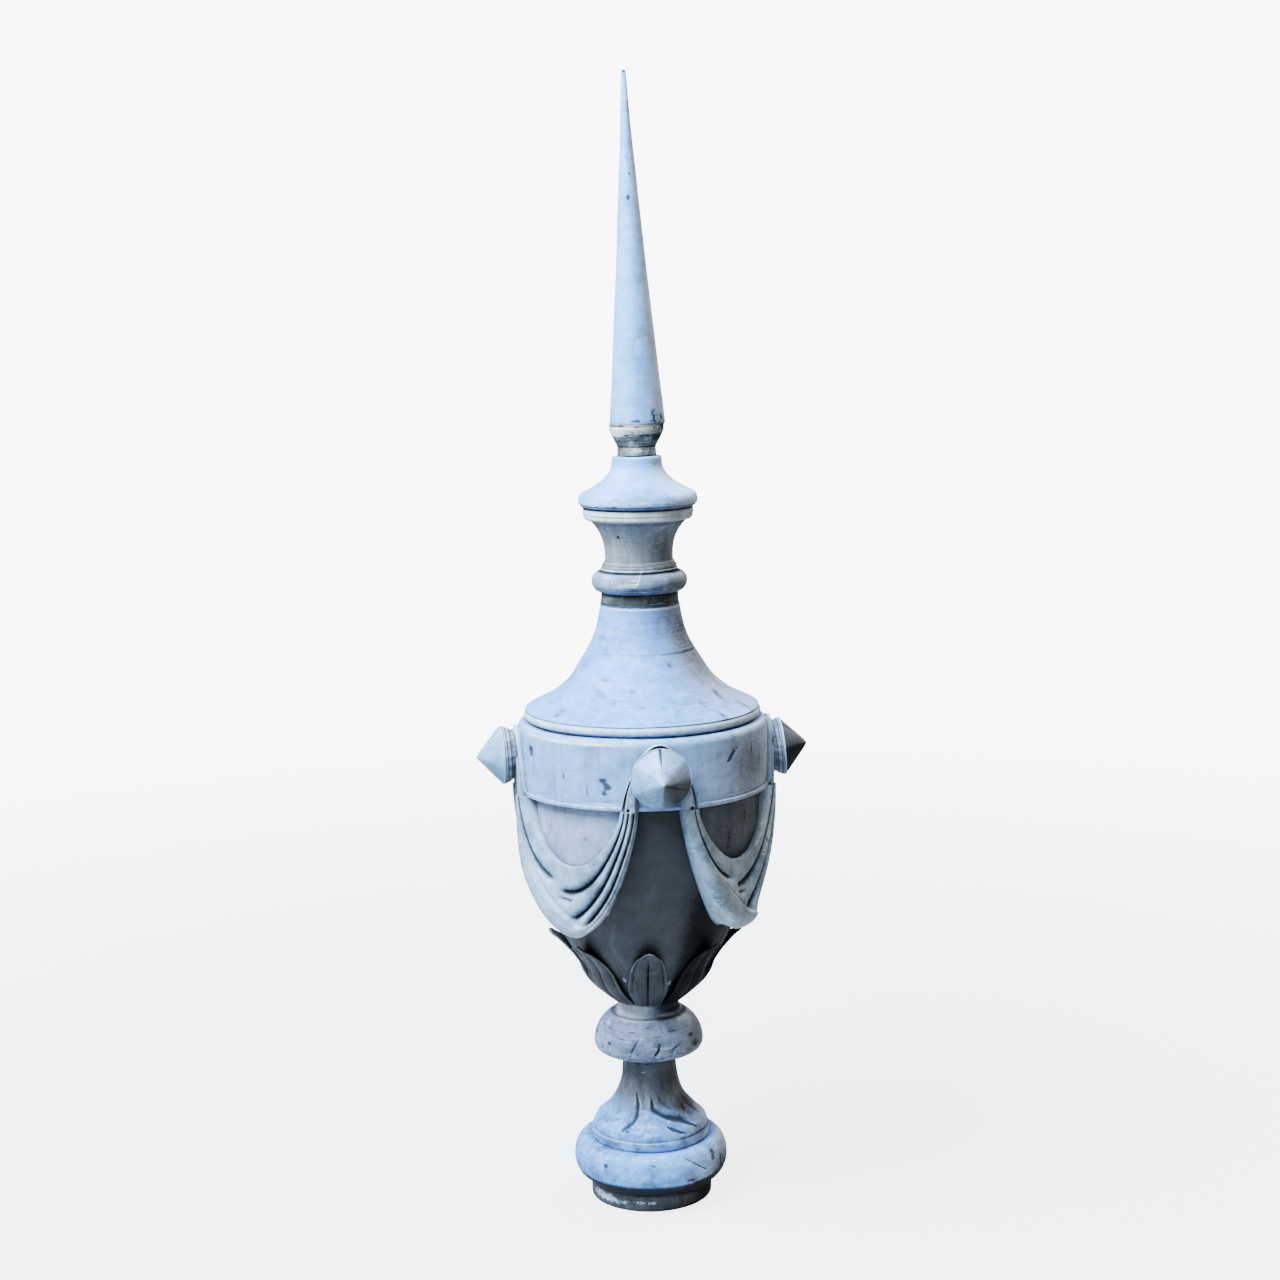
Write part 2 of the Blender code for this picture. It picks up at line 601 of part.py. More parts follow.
def make_spike(parts, cutters, socket_finish, finish):
    bulb_bottom = SOCKET_TOP - SOCKET_BULB_HEIGHT
    swell = SPIKE_BASE_R - SOCKET_NECK_R
    bulb = [
        (SOCKET_NECK_R + swell * sin(pi / 2 * s) ** 1.15, bulb_bottom + SOCKET_BULB_HEIGHT * s)
        for s in (1, 0.75, 0.5, 0.25, 0)
    ]
    socket = [(0, SOCKET_TOP)] + bulb + [(SOCKET_NECK_R, SOCKET_BOTTOM), (0, SOCKET_BOTTOM)]
    turn("spike_socket", socket, parts, socket_finish, SLIM_SIDES)

    sunk = SPIKE_BASE_R * sin(SPIKE_LEAN) + JOINT_GAP
    steps = 5
    widening = SPIKE_BASE_R - SPIKE_TIP_R
    taper = [
        (SPIKE_TIP_R + widening * (i / steps) ** SPIKE_TAPER, SPIKE_HEIGHT * (1 - i / steps))
        for i in range(steps + 1)
    ]
    taper[0] = (SPIKE_TIP_R, SPIKE_HEIGHT - SPIKE_TIP_R)
    outline = [(0, SPIKE_HEIGHT)] + taper + [(SPIKE_BASE_R, -sunk), (0, -sunk)]
    spike = turn("spike", outline, parts, finish, SLIM_SIDES)
    spike.location = polar(-SPIKE_SLIP, SPIKE_LEAN_TOWARDS, SPIKE_BOTTOM)
    lean_axis = (cos(SPIKE_LEAN_TOWARDS), sin(SPIKE_LEAN_TOWARDS), 0)
    spike.rotation_mode = "AXIS_ANGLE"
    spike.rotation_axis_angle = (SPIKE_LEAN, *lean_axis)
    below = SPIKE_BOTTOM - 4 * sunk
    floor = upright_cylinder("spike_seat", 2 * SPIKE_BASE_R, below, SPIKE_BOTTOM, 16, cutters)
    cut(spike, floor)


def main():
    clear_scene()
    parts = new_collection("roof_finial")
    cutters = new_collection("cutters", hidden=True)
    pale = zinc("pale zinc", (0.47, 0.57, 0.68), 0.62)
    slate = zinc("shaded zinc", (0.22, 0.26, 0.31), 0.60)
    brown = zinc("stained zinc", (0.23, 0.21, 0.19), 0.70)
    greenish = zinc("soldered zinc", (0.34, 0.38, 0.38), 0.66)
    bowl_cutter = hide_cutter(turn("bowl_cutter", bowl_profile(JOINT_GAP), cutters))
    band_cutter = hide_cutter(turn("band_cutter", band_profile(JOINT_GAP), cutters))
    make_foot(parts, pale)
    make_knop(parts, pale)
    make_bowl(parts, slate)
    make_leaves(parts, bowl_cutter, slate)
    make_swags(parts, bowl_cutter, pale)
    make_band(parts, pale)
    make_hooks(parts, cutters, band_cutter, pale)
    make_bosses(parts, cutters, pale, greenish)
    make_dome(parts, pale)
    make_neck(parts, brown, pale)
    make_cap(parts, pale)
    make_spike(parts, cutters, greenish, pale)


main()
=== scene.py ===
# %% [markdown]
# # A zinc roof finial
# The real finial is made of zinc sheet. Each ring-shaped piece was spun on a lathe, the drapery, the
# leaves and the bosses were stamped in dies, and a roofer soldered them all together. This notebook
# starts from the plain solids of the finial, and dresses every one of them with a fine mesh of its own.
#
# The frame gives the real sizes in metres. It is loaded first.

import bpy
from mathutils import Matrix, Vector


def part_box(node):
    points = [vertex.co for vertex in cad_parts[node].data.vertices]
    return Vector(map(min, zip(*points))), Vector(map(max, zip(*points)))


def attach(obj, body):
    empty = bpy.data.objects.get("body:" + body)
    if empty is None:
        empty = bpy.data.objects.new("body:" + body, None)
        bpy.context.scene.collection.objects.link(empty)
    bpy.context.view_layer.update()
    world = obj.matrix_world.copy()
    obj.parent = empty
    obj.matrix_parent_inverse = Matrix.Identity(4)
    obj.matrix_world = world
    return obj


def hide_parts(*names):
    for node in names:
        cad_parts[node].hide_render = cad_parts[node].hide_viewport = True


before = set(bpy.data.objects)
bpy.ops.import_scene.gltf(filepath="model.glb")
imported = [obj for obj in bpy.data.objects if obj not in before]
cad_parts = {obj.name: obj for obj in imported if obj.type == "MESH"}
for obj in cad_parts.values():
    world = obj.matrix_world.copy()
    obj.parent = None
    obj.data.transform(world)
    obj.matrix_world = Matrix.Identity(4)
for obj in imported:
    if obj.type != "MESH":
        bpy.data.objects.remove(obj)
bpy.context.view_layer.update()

# %% [markdown]
# ## Sizes that everything shares
# Most sizes are read from the frame: a turned piece reaches from one level to another, and its widest
# radius is the largest x of its box. Working from these keeps every dressed piece where the solid is.

# %% Read the levels and radii
import bpy
import numpy as np
from math import acos, cos, degrees, pi, radians, sin, tau
from mathutils import Matrix, Vector

MM = 0.001


def bottom_of(node):
    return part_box(node)[0].z


def top_of(node):
    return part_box(node)[1].z


def radius_of(node):
    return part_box(node)[1].x


BOSSES = 4
BAND_R = radius_of("band") - 1.5 * MM
BOWL_TOP = top_of("bowl")
BOWL_HEIGHT = BOWL_TOP - bottom_of("bowl")
BOWL_RIM_R = radius_of("bowl")
print("band radius", round(BAND_R, 4), "bowl height", round(BOWL_HEIGHT, 4))

# %% [markdown]
# ## Drawing a profile
# A spun piece is described by half of its outline: a list of (radius, height) points that runs from the
# top, down the outside, to the foot. Three small helpers draw it. An *arc* makes rounds, a *flare* makes
# the hollow sweep of a trumpet, and *soft* trims a sharp corner as solder and weather do. Blender could
# turn such a line with its Screw modifier. We turn it ourselves with numpy, because then each point's
# place round the axis is known, and dents and stains can be put exactly where they belong.

# %% Profile helpers
def arc(centre_r, centre_z, reach, rise, start, end, steps=10):
    """Points on an ellipse, from one angle to another in degrees. 0 points outwards, 90 up."""
    angles = np.radians(np.linspace(start, end, steps + 1))
    return [(centre_r + reach * cos(a), centre_z + rise * sin(a)) for a in angles]


def flare(slim_r, slim_z, wide_r, wide_z, bend, steps=24):
    """A concave curve that leaves the slim end straight and widens ever faster."""
    shares = np.linspace(0, 1, steps + 1)
    return [(slim_r + (wide_r - slim_r) * s**bend, slim_z + (wide_z - slim_z) * s) for s in shares]


def soft(corner_r, corner_z, before, after, size=0.0012):
    """A corner trimmed by a small curve, between the points before and after it."""
    corner = np.array((corner_r, corner_z))
    into = corner + size * unit(np.array(before) - corner)
    out = corner + size * unit(np.array(after) - corner)
    shares = (0, 0.35, 0.65, 1)
    return [tuple((1 - s) ** 2 * into + 2 * s * (1 - s) * corner + s * s * out) for s in shares]


def unit(vector):
    return vector / max(1e-9, np.linalg.norm(vector))


def softened(points, size=0.0012, keep_flatter_than=20):
    """The same line with every real corner trimmed."""
    line = [points[0]]
    for before, here, after in zip(points, points[1:], points[2:]):
        one = unit(np.array(here) - np.array(before))
        two = unit(np.array(after) - np.array(here))
        turn_angle = degrees(acos(max(-1.0, min(1.0, float(one @ two)))))
        room = min(np.linalg.norm(np.subtract(here, before)), np.linalg.norm(np.subtract(after, here)))
        if turn_angle < keep_flatter_than or room < 1e-6:
            line.append(here)
        else:
            line += soft(*here, before, after, min(size, 0.45 * room))
    return line + [points[-1]]


def dense(points, gap):
    """The same line with extra points, so that no stretch is longer than gap. A flat lid needs none."""
    line = [points[0]]
    for here, there in zip(points, points[1:]):
        length = float(np.linalg.norm(np.subtract(there, here)))
        lid = min(here[0], there[0]) < 1e-6
        steps = 1 if lid else max(1, int(np.ceil(length / gap)))
        line += [tuple(np.array(here) + (np.array(there) - np.array(here)) * i / steps)
                 for i in range(1, steps + 1)]
    return line


print("a quarter round of 4 steps:", [tuple(round(v, 2) for v in p) for p in arc(0, 0, 1, 1, 90, 0, 4)])

# %% [markdown]
# ## Damage and stains as fields
# A dent, a crease or a stain is a *field*: a function that says, for every point of the skin, how strongly
# it is there, from 0 to 1. A field takes the azimuth in degrees (0 is the front boss, positive to the
# right), the level in metres and the radius. The same field can push the mesh in, darken the zinc, or
# both, so a crease and the dirt in it always lie in the same place.

# %% Field helpers
def turned_by(azimuth, centre):
    """The difference between azimuths, the short way round, in degrees."""
    return (azimuth - centre + 180) % 360 - 180


def spot(centre, level, wide, high):
    """A soft patch. wide and high are its half sizes in metres."""
    def field(azimuth, z, r):
        across = np.radians(turned_by(azimuth, centre)) * r / wide
        return np.exp(-(across**2 + ((z - level) / high) ** 2))
    return field


def spots(*rows):
    """Patches as rows of amount, azimuth, level in metres, half width and half height in millimetres."""
    return [(amount, spot(at, level, wide * MM, high * MM)) for amount, at, level, wide, high in rows]


def stroke(points, width, fade=0.25):
    """A line over the skin through (azimuth, level) points, width metres wide, fading at its ends."""
    def field(azimuth, z, r):
        best = np.zeros(np.broadcast(azimuth, z, r).shape)
        count = len(points) - 1
        for i, (here, there) in enumerate(zip(points, points[1:])):
            ax = np.radians(turned_by(azimuth, here[0])) * r
            az = z - here[1]
            bx = np.radians(turned_by(there[0], here[0])) * r
            bz = there[1] - here[1]
            share = np.clip((ax * bx + az * bz) / (bx * bx + bz * bz + 1e-12), 0, 1)
            distance = np.hypot(ax - share * bx, az - share * bz)
            along = (i + share) / count
            ends = np.clip(np.minimum(along, 1 - along) / fade, 0.25, 1) if fade else 1
            best = np.maximum(best, np.exp(-((distance / (width * ends)) ** 2)))
        return best
    return field


def ring(level, width):
    """A line all the way round."""
    return lambda azimuth, z, r: np.exp(-(((z - level) / width) ** 2)) + 0 * azimuth


def between(low, high, blur):
    """Everything between two levels."""
    def field(azimuth, z, r):
        return ease(low - blur, low + blur, z) * (1 - ease(high - blur, high + blur, z)) + 0 * azimuth
    return field


def both(one, other):
    """Two fields at once, strong only where both of them are."""
    return lambda azimuth, z, r: one(azimuth, z, r) * other(azimuth, z, r)


def ease(low, high, value):
    """0 below low, 1 above high, and a smooth rise between them."""
    share = np.clip((value - low) / (high - low), 0, 1)
    return share * share * (3 - 2 * share)


def uneven(seed, waves=10, finest=9):
    """Slow waves over the skin, as hand-planished sheet has. It is between about -1 and 1."""
    dice = np.random.default_rng(seed)
    around = dice.integers(1, finest + 1, waves)
    upwards = dice.uniform(-1, 1, waves) * 22 * finest
    start = dice.uniform(0, tau, waves)
    def field(azimuth, z, r):
        total = 0
        for k, m, phase in zip(around, upwards, start):
            total = total + np.sin(k * np.radians(azimuth) + m * z + phase)
        return total / waves**0.5 / 1.6
    return field


print("a spot at its middle:", float(spot(0, 0, 0.01, 0.01)(0.0, 0.0, 0.1)))

# %% [markdown]
# ## Turning a profile into a mesh
# The *spin* helper lays the profile's points out as a grid, one row for each point and one column for each
# step round the axis, and joins them with four-sided faces. Every field in *push* moves the skin along
# its normal, in metres. The fields in *paint* don't move anything. They are stored on the vertices as
# four attributes, which the material reads later on: dirt with painted shade, stains, wear with painted
# highlights, and dull grey with painted shade.

# %% Mesh helpers
PAINTS = ("soil_and_shade", "stain", "wear_and_highlight", "grey_and_shade")


def total_field(parts, azimuth, z, r):
    total = np.zeros(np.broadcast(azimuth, z, r).shape)
    for amount, field in parts:
        total = total + amount * field(azimuth, z, r)
    return total


def store_paint(mesh, layers):
    """Writes each paint layer on the vertices. A layer that is left out is all zero."""
    for name in PAINTS:
        values = np.clip(layers.get(name, np.zeros(len(mesh.vertices))), 0, 1)
        attribute = mesh.attributes.new(name, "FLOAT", "POINT")
        attribute.data.foreach_set("value", values.astype(np.float32).ravel())


def finish_mesh(name, points, faces, layers, sharp=40):
    mesh = bpy.data.meshes.new(name)
    mesh.from_pydata([tuple(p) for p in points], [], faces)
    mesh.update()
    mesh.shade_smooth()
    mesh.set_sharp_from_angle(angle=radians(sharp))
    store_paint(mesh, layers)
    made = bpy.data.objects.new(name, mesh)
    bpy.context.scene.collection.objects.link(made)
    return made


def spin(name, profile, columns=224, gap=0.0026, push=(), paint=None, sharp=40):
    """A turned skin. A profile that starts and ends on the axis gives a closed solid."""
    line = np.array(dense(profile, gap))
    r, z = line[:, 0:1], line[:, 1:2]
    azimuth = np.linspace(0, 360, columns, endpoint=False)[None, :]
    slope = np.gradient(line, axis=0)
    normal = np.stack((-slope[:, 1], slope[:, 0]), 1)
    normal /= np.maximum(1e-9, np.linalg.norm(normal, axis=1))[:, None]
    moved = total_field(push, azimuth, z, r)
    rim = np.minimum(1, r / 0.004)
    full_r = r + normal[:, 0:1] * moved * rim
    full_z = z + normal[:, 1:2] * moved * rim + 0 * azimuth
    angle = np.radians(azimuth)
    points = np.stack((full_r * np.sin(angle), -full_r * np.cos(angle), full_z), -1)
    layers = {key: total_field(parts, azimuth, z, r) for key, parts in (paint or {}).items()}
    return grid_mesh(name, points, layers, line[0, 0] < 1e-6, line[-1, 0] < 1e-6, True, sharp)


def grid_mesh(name, points, layers, top_pole, foot_pole, wraps, sharp):
    """A mesh from rows of points. A pole is a row that has shrunk to one point on the axis."""
    rows, columns = points.shape[:2]
    kept, faces, index, keep = [], [], np.zeros((rows, columns), int), []
    for i in range(rows):
        pole = (top_pole and i == 0) or (foot_pole and i == rows - 1)
        index[i] = len(kept) + (0 if pole else np.arange(columns))
        picked = [0] if pole else range(columns)
        kept += [points[i, j] for j in picked]
        keep += [i * columns + j for j in picked]
    for i in range(rows - 1):
        for j in range(columns if wraps else columns - 1):
            k = (j + 1) % columns
            corners = [index[i, j], index[i + 1, j], index[i + 1, k], index[i, k]]
            corners = [int(c) for n, c in enumerate(corners) if c not in corners[:n]]
            faces.append(corners)
    flat = {key: np.broadcast_to(values, (rows, columns)).ravel()[keep] for key, values in layers.items()}
    return finish_mesh(name, kept, faces, flat, sharp)


def wear(piece, node, finish):
    """Dresses a node: the piece rides with the body, hides the plain solid and takes its finish."""
    nodes = [node] if isinstance(node, str) else node
    piece.data.materials.clear()
    piece.data.materials.append(finish)
    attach(piece, "root")
    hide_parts(*nodes)
    faces = sum(len(f.vertices) - 2 for f in piece.data.polygons)
    print(piece.name, "has", faces, "triangles")
    return piece


# %% [markdown]
# ## The finish of old zinc
# New zinc is bright, but rain turns it blue-white within a few years. The patina is thin and cloudy: it is
# chalky where water dries, darker where it stays dry, and dirt gathers in hollows. One recipe makes all
# the finishes here. Noises at different scales pick a shade from a colour ramp. Fine lines come from a
# noise that is squeezed along one axis: round the piece for lathe marks, or down it for rain streaks. The
# painted attributes then dull some places, lighten what is worn bare, and darken hollows and stains. They
# also carry painted shade on sides turned away from the light, and a few painted highlights. Ambient
# occlusion adds dirt and painted shade in recesses. Last, painted shade makes the side that is turned
# away from the light at the left duller and darker. The normal of the surface tells the sides apart.

# %% The zinc recipe
def colour(red, green, blue):
    """A colour as seen on a screen, from 0 to 255, as the linear values that Blender wants."""
    shares = [c / 255 for c in (red, green, blue)]
    return tuple(s / 12.92 if s <= 0.04045 else ((s + 0.055) / 1.055) ** 2.4 for s in shares) + (1.0,)


class Recipe:
    """A material under construction."""

    def __init__(self, name):
        self.material = bpy.data.materials.new(name)
        self.material.use_nodes = True
        self.tree = self.material.node_tree
        self.shader = self.tree.nodes["Principled BSDF"]

    def node(self, kind, settings=None, **inputs):
        made = self.tree.nodes.new("ShaderNode" + kind)
        for key, value in (settings or {}).items():
            setattr(made, key, value)
        for key, value in inputs.items():
            self.feed(made, key.replace("_", " "), value)
        return made

    def feed(self, node, key, value):
        socket = node.inputs[int(key)] if key.isdigit() else node.inputs[key]
        if isinstance(value, bpy.types.NodeSocket):
            self.tree.links.new(value, socket)
        else:
            socket.default_value = value

    def maths(self, operation, one, two):
        made = self.tree.nodes.new("ShaderNodeMath")
        made.operation = operation
        self.feed(made, "0", one)
        self.feed(made, "1", two)
        return made.outputs[0]

    def part(self, value, share):
        return self.maths("MULTIPLY", value, share)

    def swing(self, value, size):
        """A noise that varies round 0, where it varied round 0.5."""
        return self.part(self.maths("SUBTRACT", value, 0.5), size)

    def add(self, first, *others):
        for other in others:
            first = self.maths("ADD", first, other)
        return first

    def blend(self, share, one, two):
        made = self.tree.nodes.new("ShaderNodeMix")
        made.data_type = "RGBA"
        self.feed(made, "0", share)
        self.feed(made, "6", one)
        self.feed(made, "7", two)
        return made.outputs[2]

    def span(self, value, low, high, to_low=0.0, to_high=1.0):
        made = self.tree.nodes.new("ShaderNodeMapRange")
        made.interpolation_type = "SMOOTHSTEP"
        for key, number in enumerate((value, low, high, to_low, to_high)):
            self.feed(made, str(key), number)
        return made.outputs[0]

    def ramp(self, share, stops):
        made = self.tree.nodes.new("ShaderNodeValToRGB")
        elements = made.color_ramp.elements
        while len(elements) < len(stops):
            elements.new(0.5)
        for element, (place, shade) in zip(elements, stops):
            element.position = place
            element.color = shade
        self.feed(made, "0", share)
        return made.outputs[0]

    def noise(self, where, scale, detail=3.0, roughness=0.55, distortion=0.0):
        made = self.node("TexNoise", Vector=where, Scale=scale, Detail=detail, Roughness=roughness,
                         Distortion=distortion)
        return made.outputs[0]

    def painted(self, name):
        return self.node("Attribute", {"attribute_name": name}).outputs["Fac"]

    def stretched(self, where, factors, detail, roughness, distortion=0.0):
        """Noise with its own scale along each axis."""
        squeezed = self.node("Mapping", Vector=where, Scale=factors).outputs[0]
        return self.noise(squeezed, 1.0, detail, roughness, distortion)


# The side from which the light falls. Painted shade makes surfaces turned away from it duller and darker.
LIGHT_SIDE = (-0.85, -0.40, 0.25)
GLOOM = ((0.40, colour(93, 99, 109)), (0.50, colour(75, 81, 90)), (0.60, colour(55, 60, 68)))


def zinc(name, shades, soil_and_shade_colour, wear_and_highlight, lathe=0.35, rain=0.0, rough=0.62, grain=1.0, cloud=0.18, marks=0.5):
    """Old zinc. shades run from dark to pale, dirt darkens recesses, stains and painted shade, and bare
    shows wear and painted highlights.
    """
    recipe = Recipe(name)
    place = recipe.node("TexCoord").outputs["Object"]
    cloudy = recipe.noise(place, 9.0, 3.0, 0.5, 0.4)
    patchy = recipe.noise(place, 48.0, 7.0, 0.68, 0.3)
    rings = recipe.stretched(place, (2.0, 2.0, 420.0), 3.0, 0.7)
    streaks = recipe.stretched(place, (120.0, 120.0, 7.0), 4.0, 0.65, 0.3)
    shade = recipe.add(recipe.part(cloudy, 0.4), recipe.part(patchy, 0.6),
                       recipe.swing(rings, lathe * 0.5), recipe.swing(streaks, rain))
    dark, middle, pale = shades
    skin = recipe.ramp(shade, ((0.5 - cloud, dark), (0.5, middle), (0.5 + cloud, pale)))
    skin = small_marks(recipe, place, skin, dark, wear_and_highlight, marks, lathe, rain)

    jagged = recipe.noise(place, 150.0, 5.0, 0.75)
    runs = recipe.stretched(place, (70.0, 70.0, 14.0), 5.0, 0.7)
    blotches = recipe.add(recipe.part(runs, 0.45), recipe.part(patchy, 0.55))
    # Dull grey places, and painted shade on sides turned away from the light, take the grey ramp.
    grey_and_shade = torn(recipe, "grey_and_shade", jagged, 0.55, 0.1, 0.9)
    skin = recipe.blend(grey_and_shade, skin, recipe.ramp(blotches, GLOOM))
    # Worn places, and painted highlights on a few pieces, take the pale colour.
    rubbed_and_lit = torn(recipe, "wear_and_highlight", jagged, 1.1, 0.36, 0.56)
    edge = recipe.span(recipe.node("NewGeometry").outputs["Pointiness"], 0.515, 0.56, 0.0, 0.5)
    shadowy = tuple(c * 0.62 for c in wear_and_highlight[:3]) + (1.0,)
    pale_wear_and_highlight = recipe.ramp(blotches, ((0.42, wear_and_highlight), (0.62, shadowy)))
    skin = recipe.blend(recipe.maths("MAXIMUM", rubbed_and_lit, edge), skin, pale_wear_and_highlight)

    # Dirt and painted shade in recesses: ambient occlusion darkens them towards the dirt colour.
    occluded = recipe.node("AmbientOcclusion", {"samples": 6}, Distance=0.018).outputs["AO"]
    recess_soil_and_shade = recipe.span(occluded, 0.25, 0.85, 0.72, 0.0)
    # The painted layer darkens creases with dirt, and other places with painted shade.
    soil_and_shade = torn(recipe, "soil_and_shade", jagged, 0.385, 0.10, 0.75, 0.92)
    skin = recipe.blend(recipe.maths("MAXIMUM", recess_soil_and_shade, soil_and_shade), skin, soil_and_shade_colour)
    stain = torn(recipe, "stain", jagged, 1.1, 0.34, 0.60, 0.85)
    skin = weathered(recipe, recipe.blend(stain, skin, soil_and_shade_colour))

    recipe.feed(recipe.shader, "Base Color", skin)
    recipe.feed(recipe.shader, "Roughness", recipe.span(patchy, 0.3, 0.7, rough + 0.10, rough - 0.08))
    matt = recipe.maths("MAXIMUM", soil_and_shade, stain)
    recipe.feed(recipe.shader, "Specular IOR Level", recipe.span(matt, 0.0, 0.9, 0.32, 0.06))
    recipe.shader.inputs["Metallic"].default_value = 0.12
    grainy = recipe.noise(place, 260.0, 3.0, 0.6)
    height = recipe.add(recipe.part(grainy, 0.35 * grain), recipe.part(patchy, 0.9),
                        recipe.part(rings, lathe * 0.6), recipe.part(streaks, rain * 0.3),
                        recipe.part(stain, -0.5))
    bump = recipe.node("Bump", Strength=0.6, Distance=0.0012, Height=height)
    recipe.feed(recipe.shader, "Normal", bump.outputs[0])
    return recipe.material


def small_marks(recipe, place, skin, dark, wear_and_highlight, marks, lathe, rain):
    """Crusts, soot, scratches, drips and specks. Each row is a noise, the two values between which its
    mark sets in, how strong it is, and its colour."""
    crust = recipe.noise(place, 95.0, 8.0, 0.78, 0.3)
    soot = recipe.stretched(place, (20.0, 20.0, 46.0), 8.0, 0.74, 0.5)
    dashes = recipe.stretched(place, (20.0, 20.0, 130.0), 5.0, 0.66)
    drips = recipe.stretched(place, (180.0, 180.0, 18.0), 5.0, 0.72)
    specks = recipe.noise(place, 400.0, 3.0, 0.6)
    turned = marks * min(1.0, lathe * 2)
    rained = marks * min(1.0, rain * 2)
    for noise, low, high, strength, tint in (
            (crust, 0.55, 0.63, 0.55 * marks, wear_and_highlight), (soot, 0.54, 0.64, 0.85 * marks, dark),
            (dashes, 0.57, 0.64, turned, dark), (dashes, 0.43, 0.36, 0.8 * turned, wear_and_highlight),
            (drips, 0.58, 0.66, 0.9 * rained, dark), (specks, 0.62, 0.72, 0.6 * marks, dark)):
        skin = recipe.blend(recipe.span(noise, low, high, 0.0, strength), skin, tint)
    return skin


def torn(recipe, name, jagged, depth, low, high, most=1.0):
    """A painted layer whose edge is torn by a jagged noise."""
    layer = recipe.add(recipe.painted(name), recipe.swing(jagged, depth))
    return recipe.span(layer, low, high, 0.0, most)


def weathered(recipe, skin):
    """Painted shade: less blue and darker where the surface is turned away from the light at the left."""
    facing = recipe.node("VectorMath", {"operation": "DOT_PRODUCT"})
    recipe.feed(facing, "0", recipe.node("TexCoord").outputs["Normal"])
    recipe.feed(facing, "1", LIGHT_SIDE)
    saturation_in_shade = recipe.span(facing.outputs["Value"], -0.45, 0.35, 0.45, 1.0)
    brightness_in_shade = recipe.span(facing.outputs["Value"], -0.45, 0.30, 0.62, 1.0)
    return recipe.node("HueSaturation", Saturation=saturation_in_shade, Value=brightness_in_shade, Color=skin).outputs[0]


# The colour of dirt and stains, which also paints shade.
SOIL_AND_SHADE = colour(27, 30, 36)
CHALK = colour(204, 220, 232)
pale_zinc = zinc("pale spun zinc", (colour(88, 124, 172), colour(104, 166, 236), colour(136, 198, 252)),
                 SOIL_AND_SHADE, CHALK, lathe=0.3, marks=0.3, cloud=0.17)
print("made", pale_zinc.name)

# %% [markdown]
# Other places weathered differently. The skin of the bowl under the drapery is dark slate grey, the
# solder of the spike's socket is a chalky grey, and a tube under the neck was stained brown. Each one is
# the same recipe with other shades.

# %% The other finishes
dome_zinc = zinc("spun zinc cover", (colour(74, 98, 142), colour(86, 142, 216), colour(104, 168, 240)),
                 SOIL_AND_SHADE, colour(182, 204, 222), lathe=0.6, marks=0.28, cloud=0.19)
foot_zinc = zinc("spun zinc of the foot",
                 (colour(56, 74, 100), colour(84, 144, 216), colour(106, 178, 250)),
                 SOIL_AND_SHADE, CHALK, lathe=0.3, marks=0.45, cloud=0.16)
knop_zinc = zinc("spun zinc of the knop",
                 (colour(56, 63, 80), colour(104, 118, 150), colour(138, 154, 188)),
                 SOIL_AND_SHADE, colour(188, 204, 224), lathe=0.6, marks=0.55, cloud=0.14)
streaked_zinc = zinc("rain-streaked zinc",
                     (colour(84, 106, 138), colour(118, 156, 208), colour(144, 185, 236)),
                     SOIL_AND_SHADE, CHALK, lathe=0.1, rain=0.34, cloud=0.22, marks=0.4)
neck_zinc = zinc("grey zinc of the vase",
                 (colour(82, 88, 96), colour(114, 122, 132), colour(146, 155, 165)),
                 colour(20, 23, 27), colour(214, 222, 224), lathe=0.15, rain=0.4, cloud=0.22, marks=0.4)
roll_zinc = zinc("soldered zinc of the neck",
                 (colour(66, 75, 90), colour(106, 122, 148), colour(138, 154, 184)),
                 SOIL_AND_SHADE, colour(200, 212, 222), lathe=1.5, marks=0.6)
draped_zinc = zinc("stamped zinc drapery",
                   (colour(70, 84, 100), colour(124, 150, 176), colour(160, 190, 220)),
                   colour(16, 20, 26), colour(184, 206, 224), lathe=0.0, grain=1.3, marks=0.6)
slate_zinc = zinc("dark slate zinc", (colour(39, 43, 50), colour(46, 50, 58), colour(55, 59, 67)),
                  colour(3, 5, 9), colour(154, 170, 206), lathe=0.0, rain=0.15, rough=0.5, grain=0.4,
                  cloud=0.30, marks=0.0)
leaf_zinc = zinc("stamped zinc leaves", (colour(30, 33, 38), colour(52, 56, 60), colour(76, 82, 86)),
                 colour(6, 8, 11), colour(106, 118, 126), lathe=0.0, rain=0.05, rough=0.55, marks=0.35)
solder_zinc = zinc("soldered socket zinc", (colour(48, 49, 50), colour(98, 99, 97), colour(164, 166, 160)),
                   colour(14, 16, 18), colour(214, 216, 210), lathe=0.6, rough=0.68, grain=1.8, cloud=0.12,
                   marks=0.8)
boss_zinc = zinc("boss zinc", (colour(80, 104, 128), colour(116, 154, 196), colour(150, 188, 226)),
                 colour(24, 28, 33), CHALK, lathe=0.0, rough=0.6, grain=1.2, cloud=0.17, marks=0.5)
brown_zinc = zinc("brown-stained zinc", (colour(48, 50, 48), colour(73, 77, 74), colour(105, 110, 107)),
                  colour(16, 16, 15), colour(150, 156, 152), lathe=0.5, rough=0.72, grain=1.5, cloud=0.12)
print("finishes:", len(bpy.data.materials))

# %% [markdown]
# ## The foot
# The foot is two open shells. The lower one is a plain ring with a fat roll above it, and the upper one is
# a bell that narrows to the neck. Each is turned as one open line and then given the sheet's thickness by
# a Solidify modifier, which is how one would model any bent sheet. The roll has a few dents. They are soft
# spots in its push list, each a few tenths of a millimetre to a few millimetres deep.

